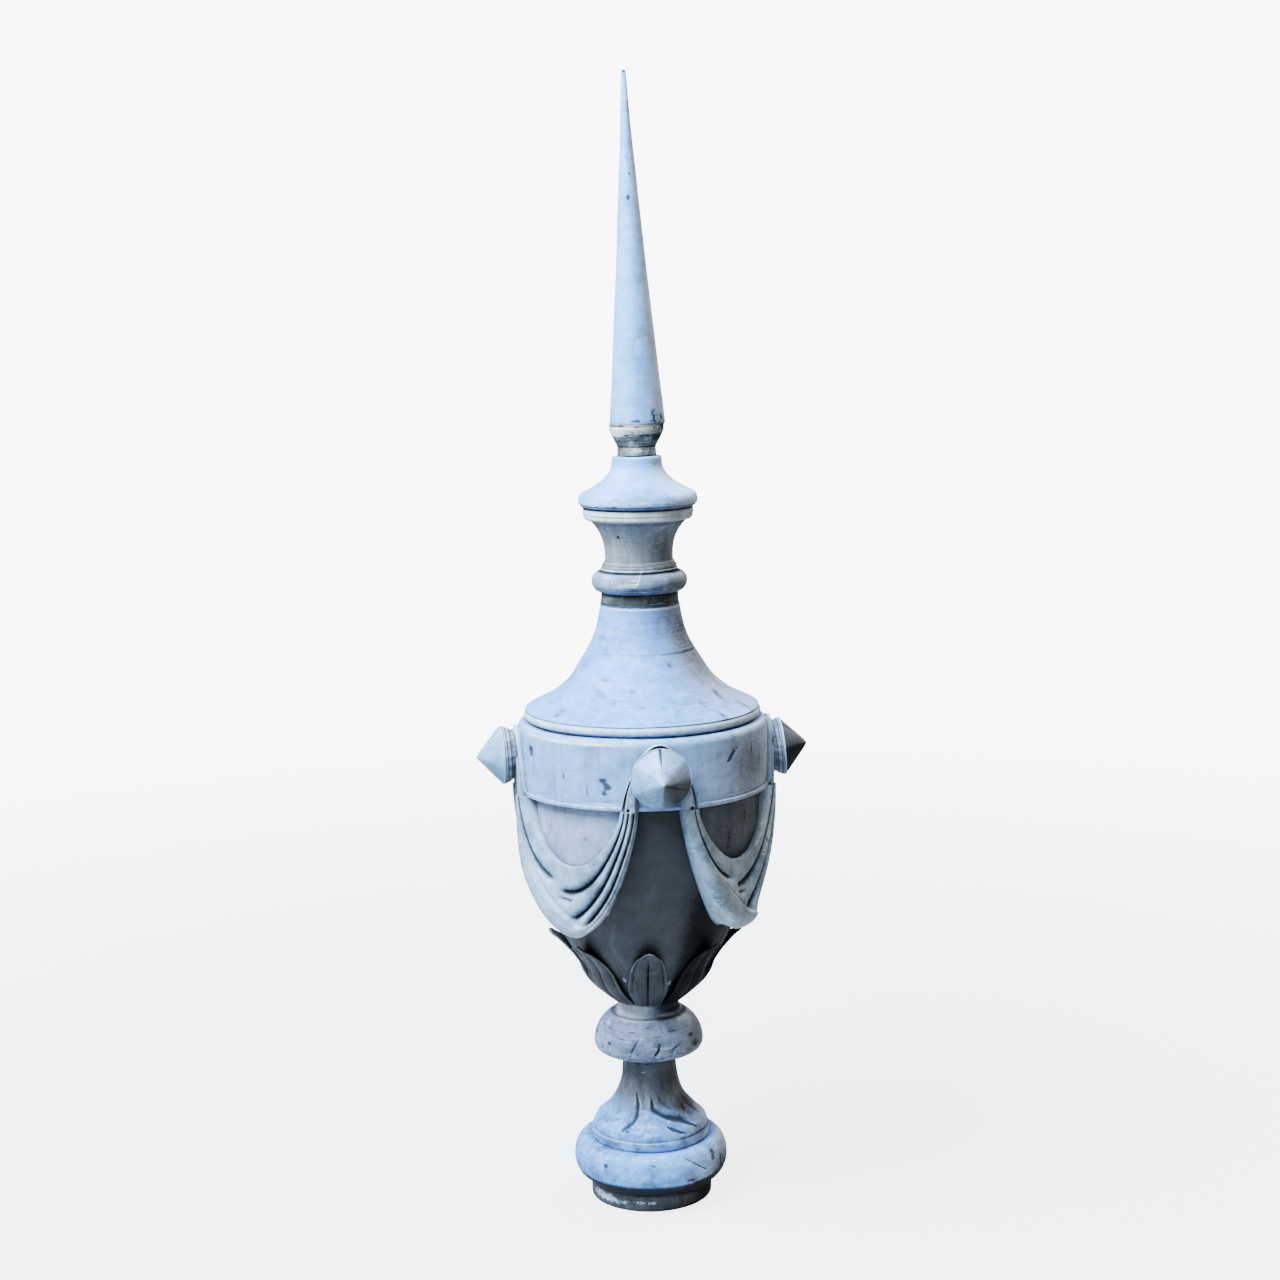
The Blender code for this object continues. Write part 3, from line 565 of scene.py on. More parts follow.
# %% Ring and roll of the foot
SHEET = 1.6 * MM
FOOT_RING_R = 82 * MM
FOOT_RING_TOP = 25.5 * MM
FOOT_HEM = 10 * MM
FOOT_ROLL_R = radius_of("foot_base")
FOOT_SHELF_R = 87 * MM
FOOT_TOP = top_of("foot_base")


def thicken(piece, thickness):
    modifier = piece.modifiers.new("Sheet", "SOLIDIFY")
    modifier.thickness = thickness
    modifier.offset = -1.0
    modifier.use_even_offset = False
    return piece


roll_middle = (FOOT_RING_TOP + FOOT_TOP) / 2
roll_rise = (FOOT_TOP - FOOT_RING_TOP) / 2
foot_line = [(FOOT_RING_R - FOOT_HEM, FOOT_TOP)]
foot_line += arc(FOOT_SHELF_R, roll_middle, FOOT_ROLL_R - FOOT_SHELF_R, roll_rise, 90, 0)
foot_line += arc(FOOT_RING_R, roll_middle, FOOT_ROLL_R - FOOT_RING_R, roll_rise, 0, -84)[1:]
foot_line += [(FOOT_RING_R + 0.5 * MM, FOOT_RING_TOP), (FOOT_RING_R, 0), (FOOT_RING_R - FOOT_HEM, 0)]

foot_dents = [
    (-2.2 * MM, spot(-38, 0.050, 0.012, 0.010)),
    (-1.6 * MM, spot(31, 0.056, 0.012, 0.012)),
    (-1.2 * MM, spot(4, 0.062, 0.020, 0.006)),
    (-1.6 * MM, stroke([(17, 0.081), (27, 0.070), (38, 0.056)], 4.0 * MM)),
    (-1.5 * MM, spot(-62, 0.030, 0.020, 0.010)),
    (-1.0 * MM, spot(100, 0.045, 0.020, 0.015)),
    (-1.8 * MM, spot(170, 0.052, 0.016, 0.010)),
    (0.5 * MM, both(uneven(3, finest=5), between(0.007, 1.0, 0.005))),
]
foot_stains = [
    *spots((0.85, -43.6, 0.0667, 4.2, 5.8), (0.80, -5.6, 0.0720, 4.5, 2.2), (0.75, 47.8, 0.0700, 7, 10),
           (0.70, -67.5, 0.0419, 3, 3), (0.70, -18.3, 0.0645, 3, 1.4)),
    (0.80, stroke([(17, 0.081), (27, 0.070), (38, 0.056)], 1.2 * MM)),
    *spots((0.75, 32, 0.038, 30, 7), (0.55, 62, 0.040, 20, 12), (0.65, -16, 0.024, 30, 4),
           (0.65, 6, 0.030, 50, 5), (0.55, 24, 0.048, 12, 3), (0.50, -60, 0.033, 12, 4),
           (0.50, 150, 0.040, 20, 6), (0.50, 58, 0.062, 7, 12), (0.48, -30, 0.040, 20, 4),
           (0.46, 14, 0.058, 20, 3)),
]
# Painted shade under the roll, on the right side of the roll and the ring, and along the foot of the ring.
foot_painted_shade = [(0.32, spot(62, 0.055, 0.045, 0.040)), (0.30, between(0.030, 0.041, 5 * MM)),
               (0.75, between(0.020, 0.042, 7 * MM)), (0.6, ring(1.0 * MM, 2 * MM)),
               (0.65, spot(62, 0.015, 0.045, 0.040))]
# The ring and the underside of the roll turn dull grey, and the right side gets painted shade.
foot_grey_and_shade = [(0.95, between(-0.010, 0.040, 8 * MM)), (0.30, spot(66, 0.055, 0.050, 0.040))]
foot_base = spin("foot_ring_and_roll", softened(foot_line), 208, 0.0026, foot_dents,
                 {"stain": foot_stains, "soil_and_shade": foot_painted_shade, "grey_and_shade": foot_grey_and_shade,
                  "wear_and_highlight": [*spots((0.60, -58, 0.012, 40, 9), (0.45, -8, 0.013, 30, 4))]})
wear(thicken(foot_base, SHEET), "foot_base", foot_zinc)

# %% [markdown]
# The bell is crushed a little: creases branch from its neck to its shoulder. One could sculpt them. Here
# each crease is a stroke over the skin, pushed in by a narrow stroke and raised beside it by a wider one,
# as sheet does when it buckles. The same lines, drawn in the layer of dirt and painted shade, darken the
# creases with dirt and a wider painted shade.

# %% Bell of the foot
BELL_FASCIA_R = 80 * MM
BELL_FASCIA_TOP = bottom_of("foot_bell") + 12.5 * MM
BELL_LEDGE = 2.2 * MM
BELL_NECK_R = 36 * MM
BELL_TOP = top_of("foot_bell")

shoulder_r = BELL_FASCIA_R - BELL_LEDGE - 11 * MM
shoulder = arc(shoulder_r, BELL_FASCIA_TOP + 2 * MM, 11 * MM, 15 * MM, 68, 0)
bell_line = flare(BELL_NECK_R, BELL_TOP, *shoulder[0], 3.2) + shoulder[1:]
bell_line += [(BELL_FASCIA_R - BELL_LEDGE, BELL_FASCIA_TOP), (BELL_FASCIA_R, BELL_FASCIA_TOP),
              (BELL_FASCIA_R, bottom_of("foot_bell")), (BELL_FASCIA_R - FOOT_HEM, bottom_of("foot_bell"))]

bell_creases = [
    (2.4, [(-33, 0.152), (-27, 0.137), (-25.7, 0.1244), (-28.9, 0.1176), (-38, 0.1107), (-39, 0.100)]),
    (2.4, [(-4.8, 0.1479), (-3.2, 0.1318), (12.9, 0.1223), (34, 0.1165), (46.6, 0.1051)]),
    (1.4, [(-12, 0.120), (-9.6, 0.1095), (-20, 0.101)]),
    (1.1, [(-9.6, 0.1095), (2, 0.107)]),
    (1.3, [(-18, 0.150), (-16, 0.135), (-20, 0.124)]),
    (1.3, [(8, 0.148), (14, 0.138), (26, 0.129)]),
    (1.4, [(-60, 0.125), (-66, 0.112), (-74, 0.100)]),
    (1.2, [(60, 0.140), (66, 0.124), (72, 0.112)]),
    (1.6, [(150, 0.150), (158, 0.134), (150, 0.118), (156, 0.104)]),
    (1.4, [(-110, 0.148), (-118, 0.130), (-112, 0.114)]),
]
bell_push = [(-amount * MM * 1.5, stroke(line, 3.4 * MM)) for amount, line in bell_creases]
bell_push += [(amount * MM * 0.50, stroke(line, 8.0 * MM)) for amount, line in bell_creases]
bell_push += [
    (-2.6 * MM, stroke([(12, 0.1125), (20, 0.108), (31, 0.101)], 4.5 * MM)),
    (1.8 * MM, spot(-12, 0.120, 0.022, 0.012)),
    (-1.8 * MM, spot(-45, 0.130, 0.014, 0.014)),
    (1.6 * MM, spot(40, 0.138, 0.012, 0.012)),
    (-1.6 * MM, spot(185, 0.125, 0.018, 0.014)),
    (0.6 * MM, uneven(5, finest=7)),
    (1.1 * MM, both(uneven(6, 12), between(0.105, 0.155, 0.012))),
]
bell_soil_and_shade = [(amount * 0.20, stroke(line, 2.4 * MM)) for amount, line in bell_creases]
bell_soil_and_shade += [(0.26, stroke(line, 6.0 * MM)) for amount, line in bell_creases if amount > 2]
# Dark rings at the joints, the neck darker towards the knop, and painted shade on the right side.
bell_soil_and_shade += [(0.40, ring(BELL_FASCIA_TOP + 1.0 * MM, 2.0 * MM)),
                (0.45, ring(bottom_of("foot_bell") + 1 * MM, 2.0 * MM)), (0.9, ring(BELL_TOP, 7 * MM)),
                (0.25, spot(60, 0.165, 0.030, 0.040)), (0.18, between(0.158, 0.230, 0.012)),
                (0.42, spot(54, 0.116, 0.042, 0.030))]
bell_stain = [(1.1, stroke([(13, 0.112), (20, 0.1085), (30, 0.102)], 2.4 * MM)),
              (0.55, ring(0.1965, 1.4 * MM)), (0.5, ring(0.1905, 1.0 * MM)), (0.45, ring(0.1850, 0.8 * MM)),
              *spots((0.5, 48, 0.125, 10, 16), (0.5, -32, 0.108, 6, 5), (0.45, 4, 0.118, 16, 3),
                     (0.45, -50, 0.118, 8, 3), (0.45, -22, 0.0915, 30, 1.5), (0.45, 10, 0.0890, 30, 1.5))]
# Dull grey towards the neck, and painted shade on the right side.
bell_grey_and_shade = [(0.95, between(0.132, 0.250, 0.030)), (0.45, spot(60, 0.135, 0.040, 0.020))]
bell_bare = spots((0.6, -19.3, 0.1790, 6, 1.2), (0.5, -8, 0.1815, 8, 0.8))
foot_bell = spin("foot_bell_shell", softened(bell_line), 192, 0.0024, bell_push,
                 {"soil_and_shade": bell_soil_and_shade, "stain": bell_stain, "grey_and_shade": bell_grey_and_shade, "wear_and_highlight": bell_bare})
wear(thicken(foot_bell, SHEET), "foot_bell", foot_zinc)

# %% [markdown]
# ## The knop
# The knop is a flattened ball with a rounded underside and a small collar on top. The collar is where the
# bowl was soldered on, so solder has run over it and left it pale. Two short creases show on its front.

# %% Knop
KNOP_R = radius_of("knop")
KNOP_BOTTOM = bottom_of("knop")
KNOP_TOP = top_of("knop")
KNOP_WIDEST = KNOP_BOTTOM + 11.5 * MM
COLLAR_R = 41.5 * MM
COLLAR_FOOT_R = 45 * MM
COLLAR_STEP = KNOP_TOP - 15.5 * MM
SKIRT_R = 50 * MM

under = arc(KNOP_R - 15 * MM, KNOP_WIDEST, 15 * MM, 13.4 * MM, 0, -84)
dome_arc = arc(BELL_NECK_R, KNOP_WIDEST, KNOP_R - BELL_NECK_R, 43 * MM, 62, 0, 16)
knop_line = [(0, KNOP_TOP), (COLLAR_R, KNOP_TOP)]
knop_line += flare(COLLAR_R, KNOP_TOP - 6 * MM, COLLAR_FOOT_R, COLLAR_STEP, 2, 6)
knop_line += [(COLLAR_FOOT_R + 4.5 * MM, COLLAR_STEP - 2 * MM)] + dome_arc + under[1:]
knop_line += [(SKIRT_R, KNOP_BOTTOM - 1.5 * MM), (SKIRT_R - 6 * MM, KNOP_BOTTOM), (0, KNOP_BOTTOM)]
knop_creases = [
    (1.7, [(-17.7, 0.2371), (-20.9, 0.2318), (-24.1, 0.2234), (-27.3, 0.2141)]),
    (2.0, [(4.8, 0.2304), (3.2, 0.2219), (-1.6, 0.2130)]),
    (1.4, [(30.5, 0.2275), (19.3, 0.2219), (16.1, 0.2123)]),
    (1.2, [(160, 0.232), (166, 0.220)]),
]
knop_push = [(-amount * MM, stroke(line, 2.0 * MM)) for amount, line in knop_creases]
knop_push += [(0.35 * MM, uneven(8, finest=6)), (-0.8 * MM, spot(45, 0.225, 0.012, 0.010))]
knop_paint = {
    "soil_and_shade": [(amount * 0.5, stroke(line, 1.6 * MM)) for amount, line in knop_creases]
              # Besides a dark ring at the collar's step, a patch of painted shade at the right of the
              # collar.
              + [(0.55, ring(COLLAR_STEP - 2 * MM, 1.6 * MM)), (1.3, spot(56, 0.270, 0.036, 0.010))],
    "stain": [(0.85, stroke([(5.5, 0.230), (2, 0.220), (-3, 0.2125)], 1.8 * MM)),
              *spots((0.8, -53, 0.2262, 7, 3.5), (0.7, -61, 0.2442, 8, 1.2), (0.7, -27, 0.2441, 7, 1.2),
                     (0.75, -9.6, 0.2494, 8, 1), (0.75, 22.5, 0.2441, 12, 1.3),
                     (0.7, -37, 0.2344, 10, 1.1), (0.55, 48, 0.2342, 13, 5), (0.60, 52, 0.2204, 14, 8),
                     (0.7, 26, 0.2142, 8, 1.5), (0.6, 4, 0.2395, 10, 0.9), (0.6, -64, 0.2190, 6, 5),
                     (0.8, 62, 0.2650, 30, 5), (0.6, 120, 0.2300, 12, 2))],
    # Painted shade on the right side.
    "grey_and_shade": [(0.6, spot(64, 0.2300, 0.034, 0.030))],
    "wear_and_highlight": [*spots((1.2, -50, 0.267, 38, 9), (0.7, -10, 0.2565, 20, 1.8), (0.6, -35, 0.258, 20, 4))],
}
knop = spin("knop_skin", softened(knop_line), 224, 0.0022, knop_push, knop_paint)
wear(knop, "knop", knop_zinc)

# %% [markdown]
# ## The bowl
# The bowl's outline follows one formula, the same in the solids and here, so that leaves and drapery fit
# its skin. Most of it is dark slate zinc. Inside each loop of drapery rain runs down from the band,
# so the zinc there has turned pale with upright streaks. We paint that as a field: the loop's lower edge
# is the drapery's upper hem.

# %% Bowl
BOWL_FOOT_R = 42.5 * MM
BOWL_FULLNESS = 2.5
HOOK_THICKNESS = 10 * MM
HOOK_FRONT_R = BAND_R + HOOK_THICKNESS
HOOK_HALF_WIDTH = 52.6 * MM
HOOK_LEG_WIDTH = 23.5 * MM
SWAG_HEM_DROP = 81 * MM
SWAG_DROP = 175 * MM
SWAG_FALL_BEND = 0.7


def bowl_radius(level):
    down = np.clip((BOWL_TOP - level) / BOWL_HEIGHT, 0, 1)
    return BOWL_FOOT_R + (BOWL_RIM_R - BOWL_FOOT_R) * np.maximum(0, 1 - down**BOWL_FULLNESS)


def hook_angle(half_width):
    """Degrees from the boss's middle at which the hook's face has this half width."""
    return degrees(pi / 2 - acos(half_width / HOOK_FRONT_R))


HEM_SPAN = 45 - hook_angle(HOOK_HALF_WIDTH)
EDGE_SPAN = 45 - hook_angle(HOOK_HALF_WIDTH - HOOK_LEG_WIDTH)


def loop_field(azimuth, z, r):
    """1 inside the loops of drapery, above the upper hem."""
    share = np.clip(((azimuth % 90) - 45) / HEM_SPAN, -1, 1)
    hem_level = BOWL_TOP - SWAG_HEM_DROP * (1 - share**2) ** SWAG_FALL_BEND
    return ease(-0.004, 0.004, z - hem_level)


def grimy_side(azimuth, z, r):
    """Painted shade on the lower right of the bowl, where it is nearly black."""
    return np.exp(-((turned_by(azimuth, 58) / 42) ** 4)) * (1 - ease(0.40, 0.56, z))


def dim_loop(azimuth, z, r):
    """The loop at the right of the front boss, which gets painted shade: less pale run-off, and greyer."""
    return loop_field(azimuth, z, r) * np.exp(-((turned_by(azimuth, 45) / 34) ** 8))


def lit_loop(azimuth, z, r):
    return loop_field(azimuth, z, r) - 0.74 * dim_loop(azimuth, z, r)


bowl_line = [(0, BOWL_TOP)]
bowl_line += [(float(bowl_radius(z)), z) for z in np.linspace(BOWL_TOP, bottom_of("bowl"), 90)]
bowl_line += [(0, bottom_of("bowl"))]
bowl_paint = {
    "wear_and_highlight": [(0.95, lit_loop), *spots((0.85, -28.8, 0.3216, 2.2, 6), (0.85, 15, 0.3150, 2.4, 6))],
    "stain": [*spots((0.42, -36, 0.530, 10, 12), (0.40, -58, 0.540, 10, 20), (0.40, -48, 0.512, 16, 6),
                     (0.6, 50, 0.545, 5, 14), (0.5, 58, 0.540, 6, 6), (0.5, 38, 0.520, 8, 30)),
              (0.45, ring(BOWL_TOP - 79 * MM, 1.2 * MM))],
    # Painted shadow under the band's lower edge, and painted shade on the lower right.
    "soil_and_shade": [(0.5, ring(BOWL_TOP, 5 * MM)), (1.20, grimy_side)],
    "grey_and_shade": [(0.55, stroke([(-25, 0.415), (-30, 0.378), (-23, 0.335)], 6.0 * MM)), (0.60, dim_loop)],
}
bowl = spin("bowl_skin", softened(bowl_line), 256, 0.0035, [(0.45 * MM, uneven(11, finest=6))], bowl_paint)
wear(bowl, "bowl", slate_zinc)

# %% [markdown]
# ## The leaves
# Eight stamped leaves stand round the foot of the bowl. A leaf is a sheet laid over the bowl: its place
# across and up gives a point on the bowl, and a relief lifts it. The relief has two broad lobes with a
# slit between them, a raised rim, a lip along the top, and a tip that curls away from the bowl. The finest
# lines of the real leaves are only a few millimetres wide, so each sheet is 40 by 56 faces. The back of the
# sheet is made in the same way, a sheet's thickness deeper, and both are joined round the edge.

# %% Leaves
LEAVES = 8
LEAF_TURN = -7.0
LEAF_FOOT = bottom_of("leaf_1")
LEAF_HEIGHT = top_of("leaf_1") - LEAF_FOOT
LEAF_HALF_WIDTH = 24 * MM
LEAF_BASE_HALF_WIDTH = 16.8 * MM
LEAF_TIP_HALF_WIDTH = 1.5 * MM
LEAF_SHEET = 2.4 * MM
LEAF_WIDEST = 0.45
LEAF_FLARE_START = 0.68
# Painted shade on the leaves at the right, which are turned away from the light.
LEAF_SHADE = (0, 0.8, 1.0, 0.5, 0, 0, 0, 0)


def leaf_half_width(up):
    swell = LEAF_BASE_HALF_WIDTH + (LEAF_HALF_WIDTH - LEAF_BASE_HALF_WIDTH) * ease(0, LEAF_WIDEST, up)
    past = np.maximum(0, up - LEAF_WIDEST) / (1 - LEAF_WIDEST)
    return LEAF_TIP_HALF_WIDTH + (swell - LEAF_TIP_HALF_WIDTH) * np.maximum(0, 1 - past**2.6) ** 0.6


def leaf_relief(up, across):
    """Millimetres over the sheet's level. across is -1 to 1."""
    side = np.abs(across)
    lobes = 3.4 * (1 - np.abs((side - 0.42) / 0.46) ** 2.2).clip(0, 1) * (1 - ease(0.65, 1.0, up))
    slit = -1.6 * np.exp(-((side / 0.045) ** 2)) * (1 - ease(0.72, 0.9, up))
    rim = 3.0 * np.exp(-(((side - 0.94) / 0.10) ** 2)) * ease(0.10, 0.50, up)
    lip = 3.0 * np.exp(-(((up - 0.975) / 0.035) ** 2))
    return lobes + slit + rim + lip


def leaf_stand(up):
    """Metres between the bowl and the sheet's level."""
    bulge = 7.0 * np.sin(pi * np.minimum(1, up / 0.55))
    bend = np.maximum(0, (up - LEAF_FLARE_START) / (1 - LEAF_FLARE_START)) ** 1.7
    return (1.5 + bulge + 11.5 * bend) * MM


def make_leaf(number, rows=56, columns=40):
    dice = np.random.default_rng(40 + number)
    centre = LEAF_TURN + 360 / LEAVES * (number - 1)
    slant = dice.uniform(-1.5, 1.5)
    curl = dice.uniform(-1.5, 1.5) * MM
    up = (1 - (1 - np.linspace(0, 1, rows + 1)) ** 1.25)[::-1, None]
    across = np.linspace(-1, 1, columns + 1)[None, :]
    droop = 3.0 * MM * across**2 * ease(0.5, 0.9, up) * (1 - ease(0.95, 1, up))
    level = LEAF_FOOT + LEAF_HEIGHT * up - droop
    base = bowl_radius(level)
    half = np.minimum(180 / LEAVES - np.degrees(0.6 * MM / base), np.degrees(leaf_half_width(up) / base))
    azimuth = centre + half * across + slant * up**2
    face = base + leaf_stand(up) + leaf_relief(up, across) * MM + curl * up**4
    back = np.maximum(face - LEAF_SHEET, base + 0.2 * MM)
    soil_and_shade = np.exp(-((across / 0.045) ** 2)) * (1 - ease(0.72, 0.9, up))
    soil_and_shade = soil_and_shade + 0.6 * np.exp(-(((np.abs(across) - 0.80) / 0.06) ** 2)) * ease(0.1, 0.5, up)
    # Wear on the upper rims, with a painted highlight that makes the left rims paler than the right ones.
    wear_and_highlight = (0.50 - 0.35 * across) * np.exp(-(((np.abs(across) - 0.95) / 0.07) ** 2)) * ease(0.35, 0.8, up)
    wear_and_highlight = wear_and_highlight + 0.7 * ease(0.95, 0.99, up) + 0 * across
    soil_and_shade = soil_and_shade + LEAF_SHADE[number - 1]
    return closed_sheet(f"leaf_{number}_stamping", azimuth, level + 0 * across, face, back, soil_and_shade, wear_and_highlight)


def closed_sheet(name, azimuth, level, face, back, soil_and_shade, wear_and_highlight, sharp=50):
    """A sheet with a front, a back and an edge, from rows that run from the top down."""
    def on_axis(radius):
        angle = np.radians(azimuth)
        return np.stack((radius * np.sin(angle), -radius * np.cos(angle), level + 0 * radius), -1)
    front, rear = on_axis(face), on_axis(back)
    rows, columns = face.shape
    points = np.concatenate((front.reshape(-1, 3), rear.reshape(-1, 3)))
    behind = rows * columns
    faces = []
    for i in range(rows - 1):
        for j in range(columns - 1):
            a = i * columns + j
            b, c, d = a + columns, a + columns + 1, a + 1
            faces.append((a, b, c, d))
            faces.append((d + behind, c + behind, b + behind, a + behind))
    edge = [(0, j) for j in range(columns)] + [(i, columns - 1) for i in range(1, rows)]
    edge += [(rows - 1, j) for j in range(columns - 2, -1, -1)] + [(i, 0) for i in range(rows - 2, 0, -1)]
    loop = [i * columns + j for i, j in edge]
    for here, there in zip(loop, loop[1:] + loop[:1]):
        faces.append((here, there, there + behind, here + behind))
    layers = {"soil_and_shade": np.concatenate((np.broadcast_to(soil_and_shade, face.shape).ravel(),) * 2),
              "wear_and_highlight": np.concatenate((np.broadcast_to(wear_and_highlight, face.shape).ravel(), np.zeros(behind)))}
    return finish_mesh(name, points, faces, layers, sharp)


for number in range(1, LEAVES + 1):
    wear(make_leaf(number), f"leaf_{number}", leaf_zinc)

# %% [markdown]
# ## The drapery
# Each swag was stamped from one die, so all four are alike. A broad fold comes from the left hook and
# sweeps down to the right, where it ends in a blunt nose. Four narrow folds come from the right hook and
# disappear behind it. Cloth could be simulated, but a die-stamped relief is not cloth: its folds were
# carved. So we carve them too, as valleys on a sheet. *along* runs from -1 at the left hook to 1 at the
# right one, and *down* from 0 at the upper hem to 1 at the lower edge.

# %% Drapery
VALLEYS = (  # depth in millimetres, width as a share of the sheet, then (along, down) points
    (6.5, 0.055, ((-1.0, 0.36), (-0.7, 0.35), (-0.5, 0.32), (-0.22, 0.26))),
    (8.5, 0.058, ((-0.20, 0.37), (0.0, 0.36), (0.25, 0.33), (0.5, 0.30), (0.8, 0.26), (1.0, 0.25))),
    (4.5, 0.040, ((-0.22, 0.46), (-0.05, 0.47), (0.16, 0.48))),
    (9.0, 0.062, ((0.0, 0.74), (0.17, 0.69), (0.43, 0.61), (0.65, 0.56), (0.85, 0.51), (1.0, 0.50))),
    (8.0, 0.056, ((0.22, 0.88), (0.48, 0.82), (0.7, 0.80), (0.87, 0.76), (1.0, 0.78))),
    (2.4, 0.026, ((0.2, 0.935), (0.6, 0.93), (1.0, 0.93))),
)
BROAD_EDGE = ((-1.0, 0.42), (-0.75, 0.47), (-0.5, 0.48), (-0.23, 0.56), (-0.05, 0.66), (0.12, 0.78),
              (0.3, 0.92))
NOSE = (0.24, 0.92)


def fall_at(along):
    """How far the swag has fallen: 1 in its middle and 0 at its ends."""
    return np.maximum(0, 1 - along**2) ** SWAG_FALL_BEND


def curve_at(points, x):
    """A smooth curve through points, read at x."""
    xs, ys = (np.array(v, float) for v in zip(*points))
    slopes = np.gradient(ys, xs)
    k = np.clip(np.searchsorted(xs, x) - 1, 0, len(xs) - 2)
    width = xs[k + 1] - xs[k]
    t = np.clip((x - xs[k]) / width, 0, 1)
    h00, h10 = 2 * t**3 - 3 * t**2 + 1, t**3 - 2 * t**2 + t
    h01, h11 = -2 * t**3 + 3 * t**2, t**3 - t**2
    return h00 * ys[k] + h10 * width * slopes[k] + h01 * ys[k + 1] + h11 * width * slopes[k + 1]


def fold_relief(along, down):
    """Millimetres of relief on the swag, and how deep in a valley each point lies, from 0 to 1."""
    relief, soil_and_shade = 0.0, 0.0
    fall = fall_at(along)
    room = 0.30 + 0.70 * fall
    for depth, width, points in VALLEYS:
        first, last = points[0][0], points[-1][0]
        fade = ease(first - 0.001, first + 0.15, along) if first > -1 else 1
        fade = fade * (1 - ease(last - 0.20, last + 0.001, along) if last < 1 else 1)
        off = np.abs(down - curve_at(points, np.clip(along, first, last))) / (width * (1.15 - 0.25 * fall))
        relief = relief - 1.2 * depth * room * fade * np.exp(-(off**1.25))
        soil_and_shade = np.maximum(soil_and_shade, fade * min(1, depth / 7) * np.exp(-(off * 1.15) ** 1.5))
    below = down - curve_at(BROAD_EDGE, np.clip(along, -1.0, 0.3))
    broad = (1 - ease(0.16, 0.34, along)) * ease(-1.0, -0.7, along)
    relief = relief + 4.0 * broad * ease(-0.035, 0.03, below) * (1 - ease(0.2, 0.6, below))
    line = broad * np.exp(-(((below + 0.03) / 0.022) ** 2)) * ease(-0.65, -0.45, along)
    relief = relief - 0.8 * line
    soil_and_shade = np.maximum(soil_and_shade, 0.35 * line)
    return relief, soil_and_shade


def ease_between(low, high, value):
    return ease(min(low, high), max(low, high), value) if low < high else 1 - ease(high, low, value)


def swag_stand(along, down):
    """Metres between the bowl and the cloth, without its folds."""
    fall = fall_at(along)
    strand = 12 + 10 * np.sin(pi * np.clip(down, 0, 1)) ** 0.7
    broad = ease_between(0.25, -0.35, along)
    belly = 5.5 + (21 + 10 * broad) * ease(-0.15, 0.95, down)
    rounding = 1 - 0.14 * np.clip((down - 0.80) / 0.20, 0, 1) ** 2.2
    off_nose = np.hypot((along - NOSE[0]) / 0.20, (down - NOSE[1]) / 0.24)
    nose = 10 * np.exp(-(off_nose**2))
    return ((strand + (belly - strand) * fall) * rounding + nose * fall) * MM


def make_swag(number, rows=84, columns=140):
    centre = 90 * (number - 1) + 45
    along = np.sin(pi / 2 * np.linspace(-1, 1, columns + 1))[None, :]
    steps = np.linspace(0, 1, rows + 1)[:, None]
    down = np.minimum(1, steps * 1.08)
    tuck = np.clip((steps * 1.08 - 1) / 0.08, 0, 1)
    drop = SWAG_HEM_DROP + (SWAG_DROP - SWAG_HEM_DROP) * down
    level = BOWL_TOP - drop * fall_at(along)
    azimuth = centre + (HEM_SPAN + (EDGE_SPAN - HEM_SPAN) * down) * along
    relief, soil_and_shade = fold_relief(along, down + 0 * along)
    base = bowl_radius(level)
    stand = swag_stand(along, down) + relief * MM
    stand = np.maximum(stand, 2.5 * MM) * (1 - tuck**1.3) + 0.4 * MM
    level = level + 3 * MM * tuck * np.maximum(0, 1 - along**2) ** 0.5
    back = np.full_like(stand, 0.2 * MM) + 0 * along
    face = np.maximum(base + stand, base + back + 0.1 * MM)
    # Wear along the upper hem, and a painted highlight on the lower edge, which faces down, and on the
    # right part of swag 1.
    wear_and_highlight = 0.35 * ease(-0.02, 0.02, 0.05 - down) + 0.62 * ease(0.62, 0.95, down) * fall_at(along)
    wear_and_highlight = wear_and_highlight + (0.5 * ease(0.35, 0.65, along) if number == 1 else 0)
    soil_and_shade = soil_and_shade * (1 - tuck)
    return closed_sheet(f"swag_{number}_stamping", azimuth, level, face, base + back, soil_and_shade, wear_and_highlight)


for number in range(1, BOSSES + 1):
    wear(make_swag(number), f"swag_{number}", draped_zinc)

# %% [markdown]
# ## The band
# The band is a wide hoop of sheet round the rim. Its top turns in over a soft shoulder, and its lower edge
# carries a thin hem. It is streaked by rain, has one round hole at the left, and a few scars.

# %% Band
BAND_BOTTOM = bottom_of("band")
BAND_TOP = top_of("band")
HEM_R = radius_of("band")
SHOULDER_WIDTH = 8.5 * MM
SHOULDER_HEIGHT = 10 * MM

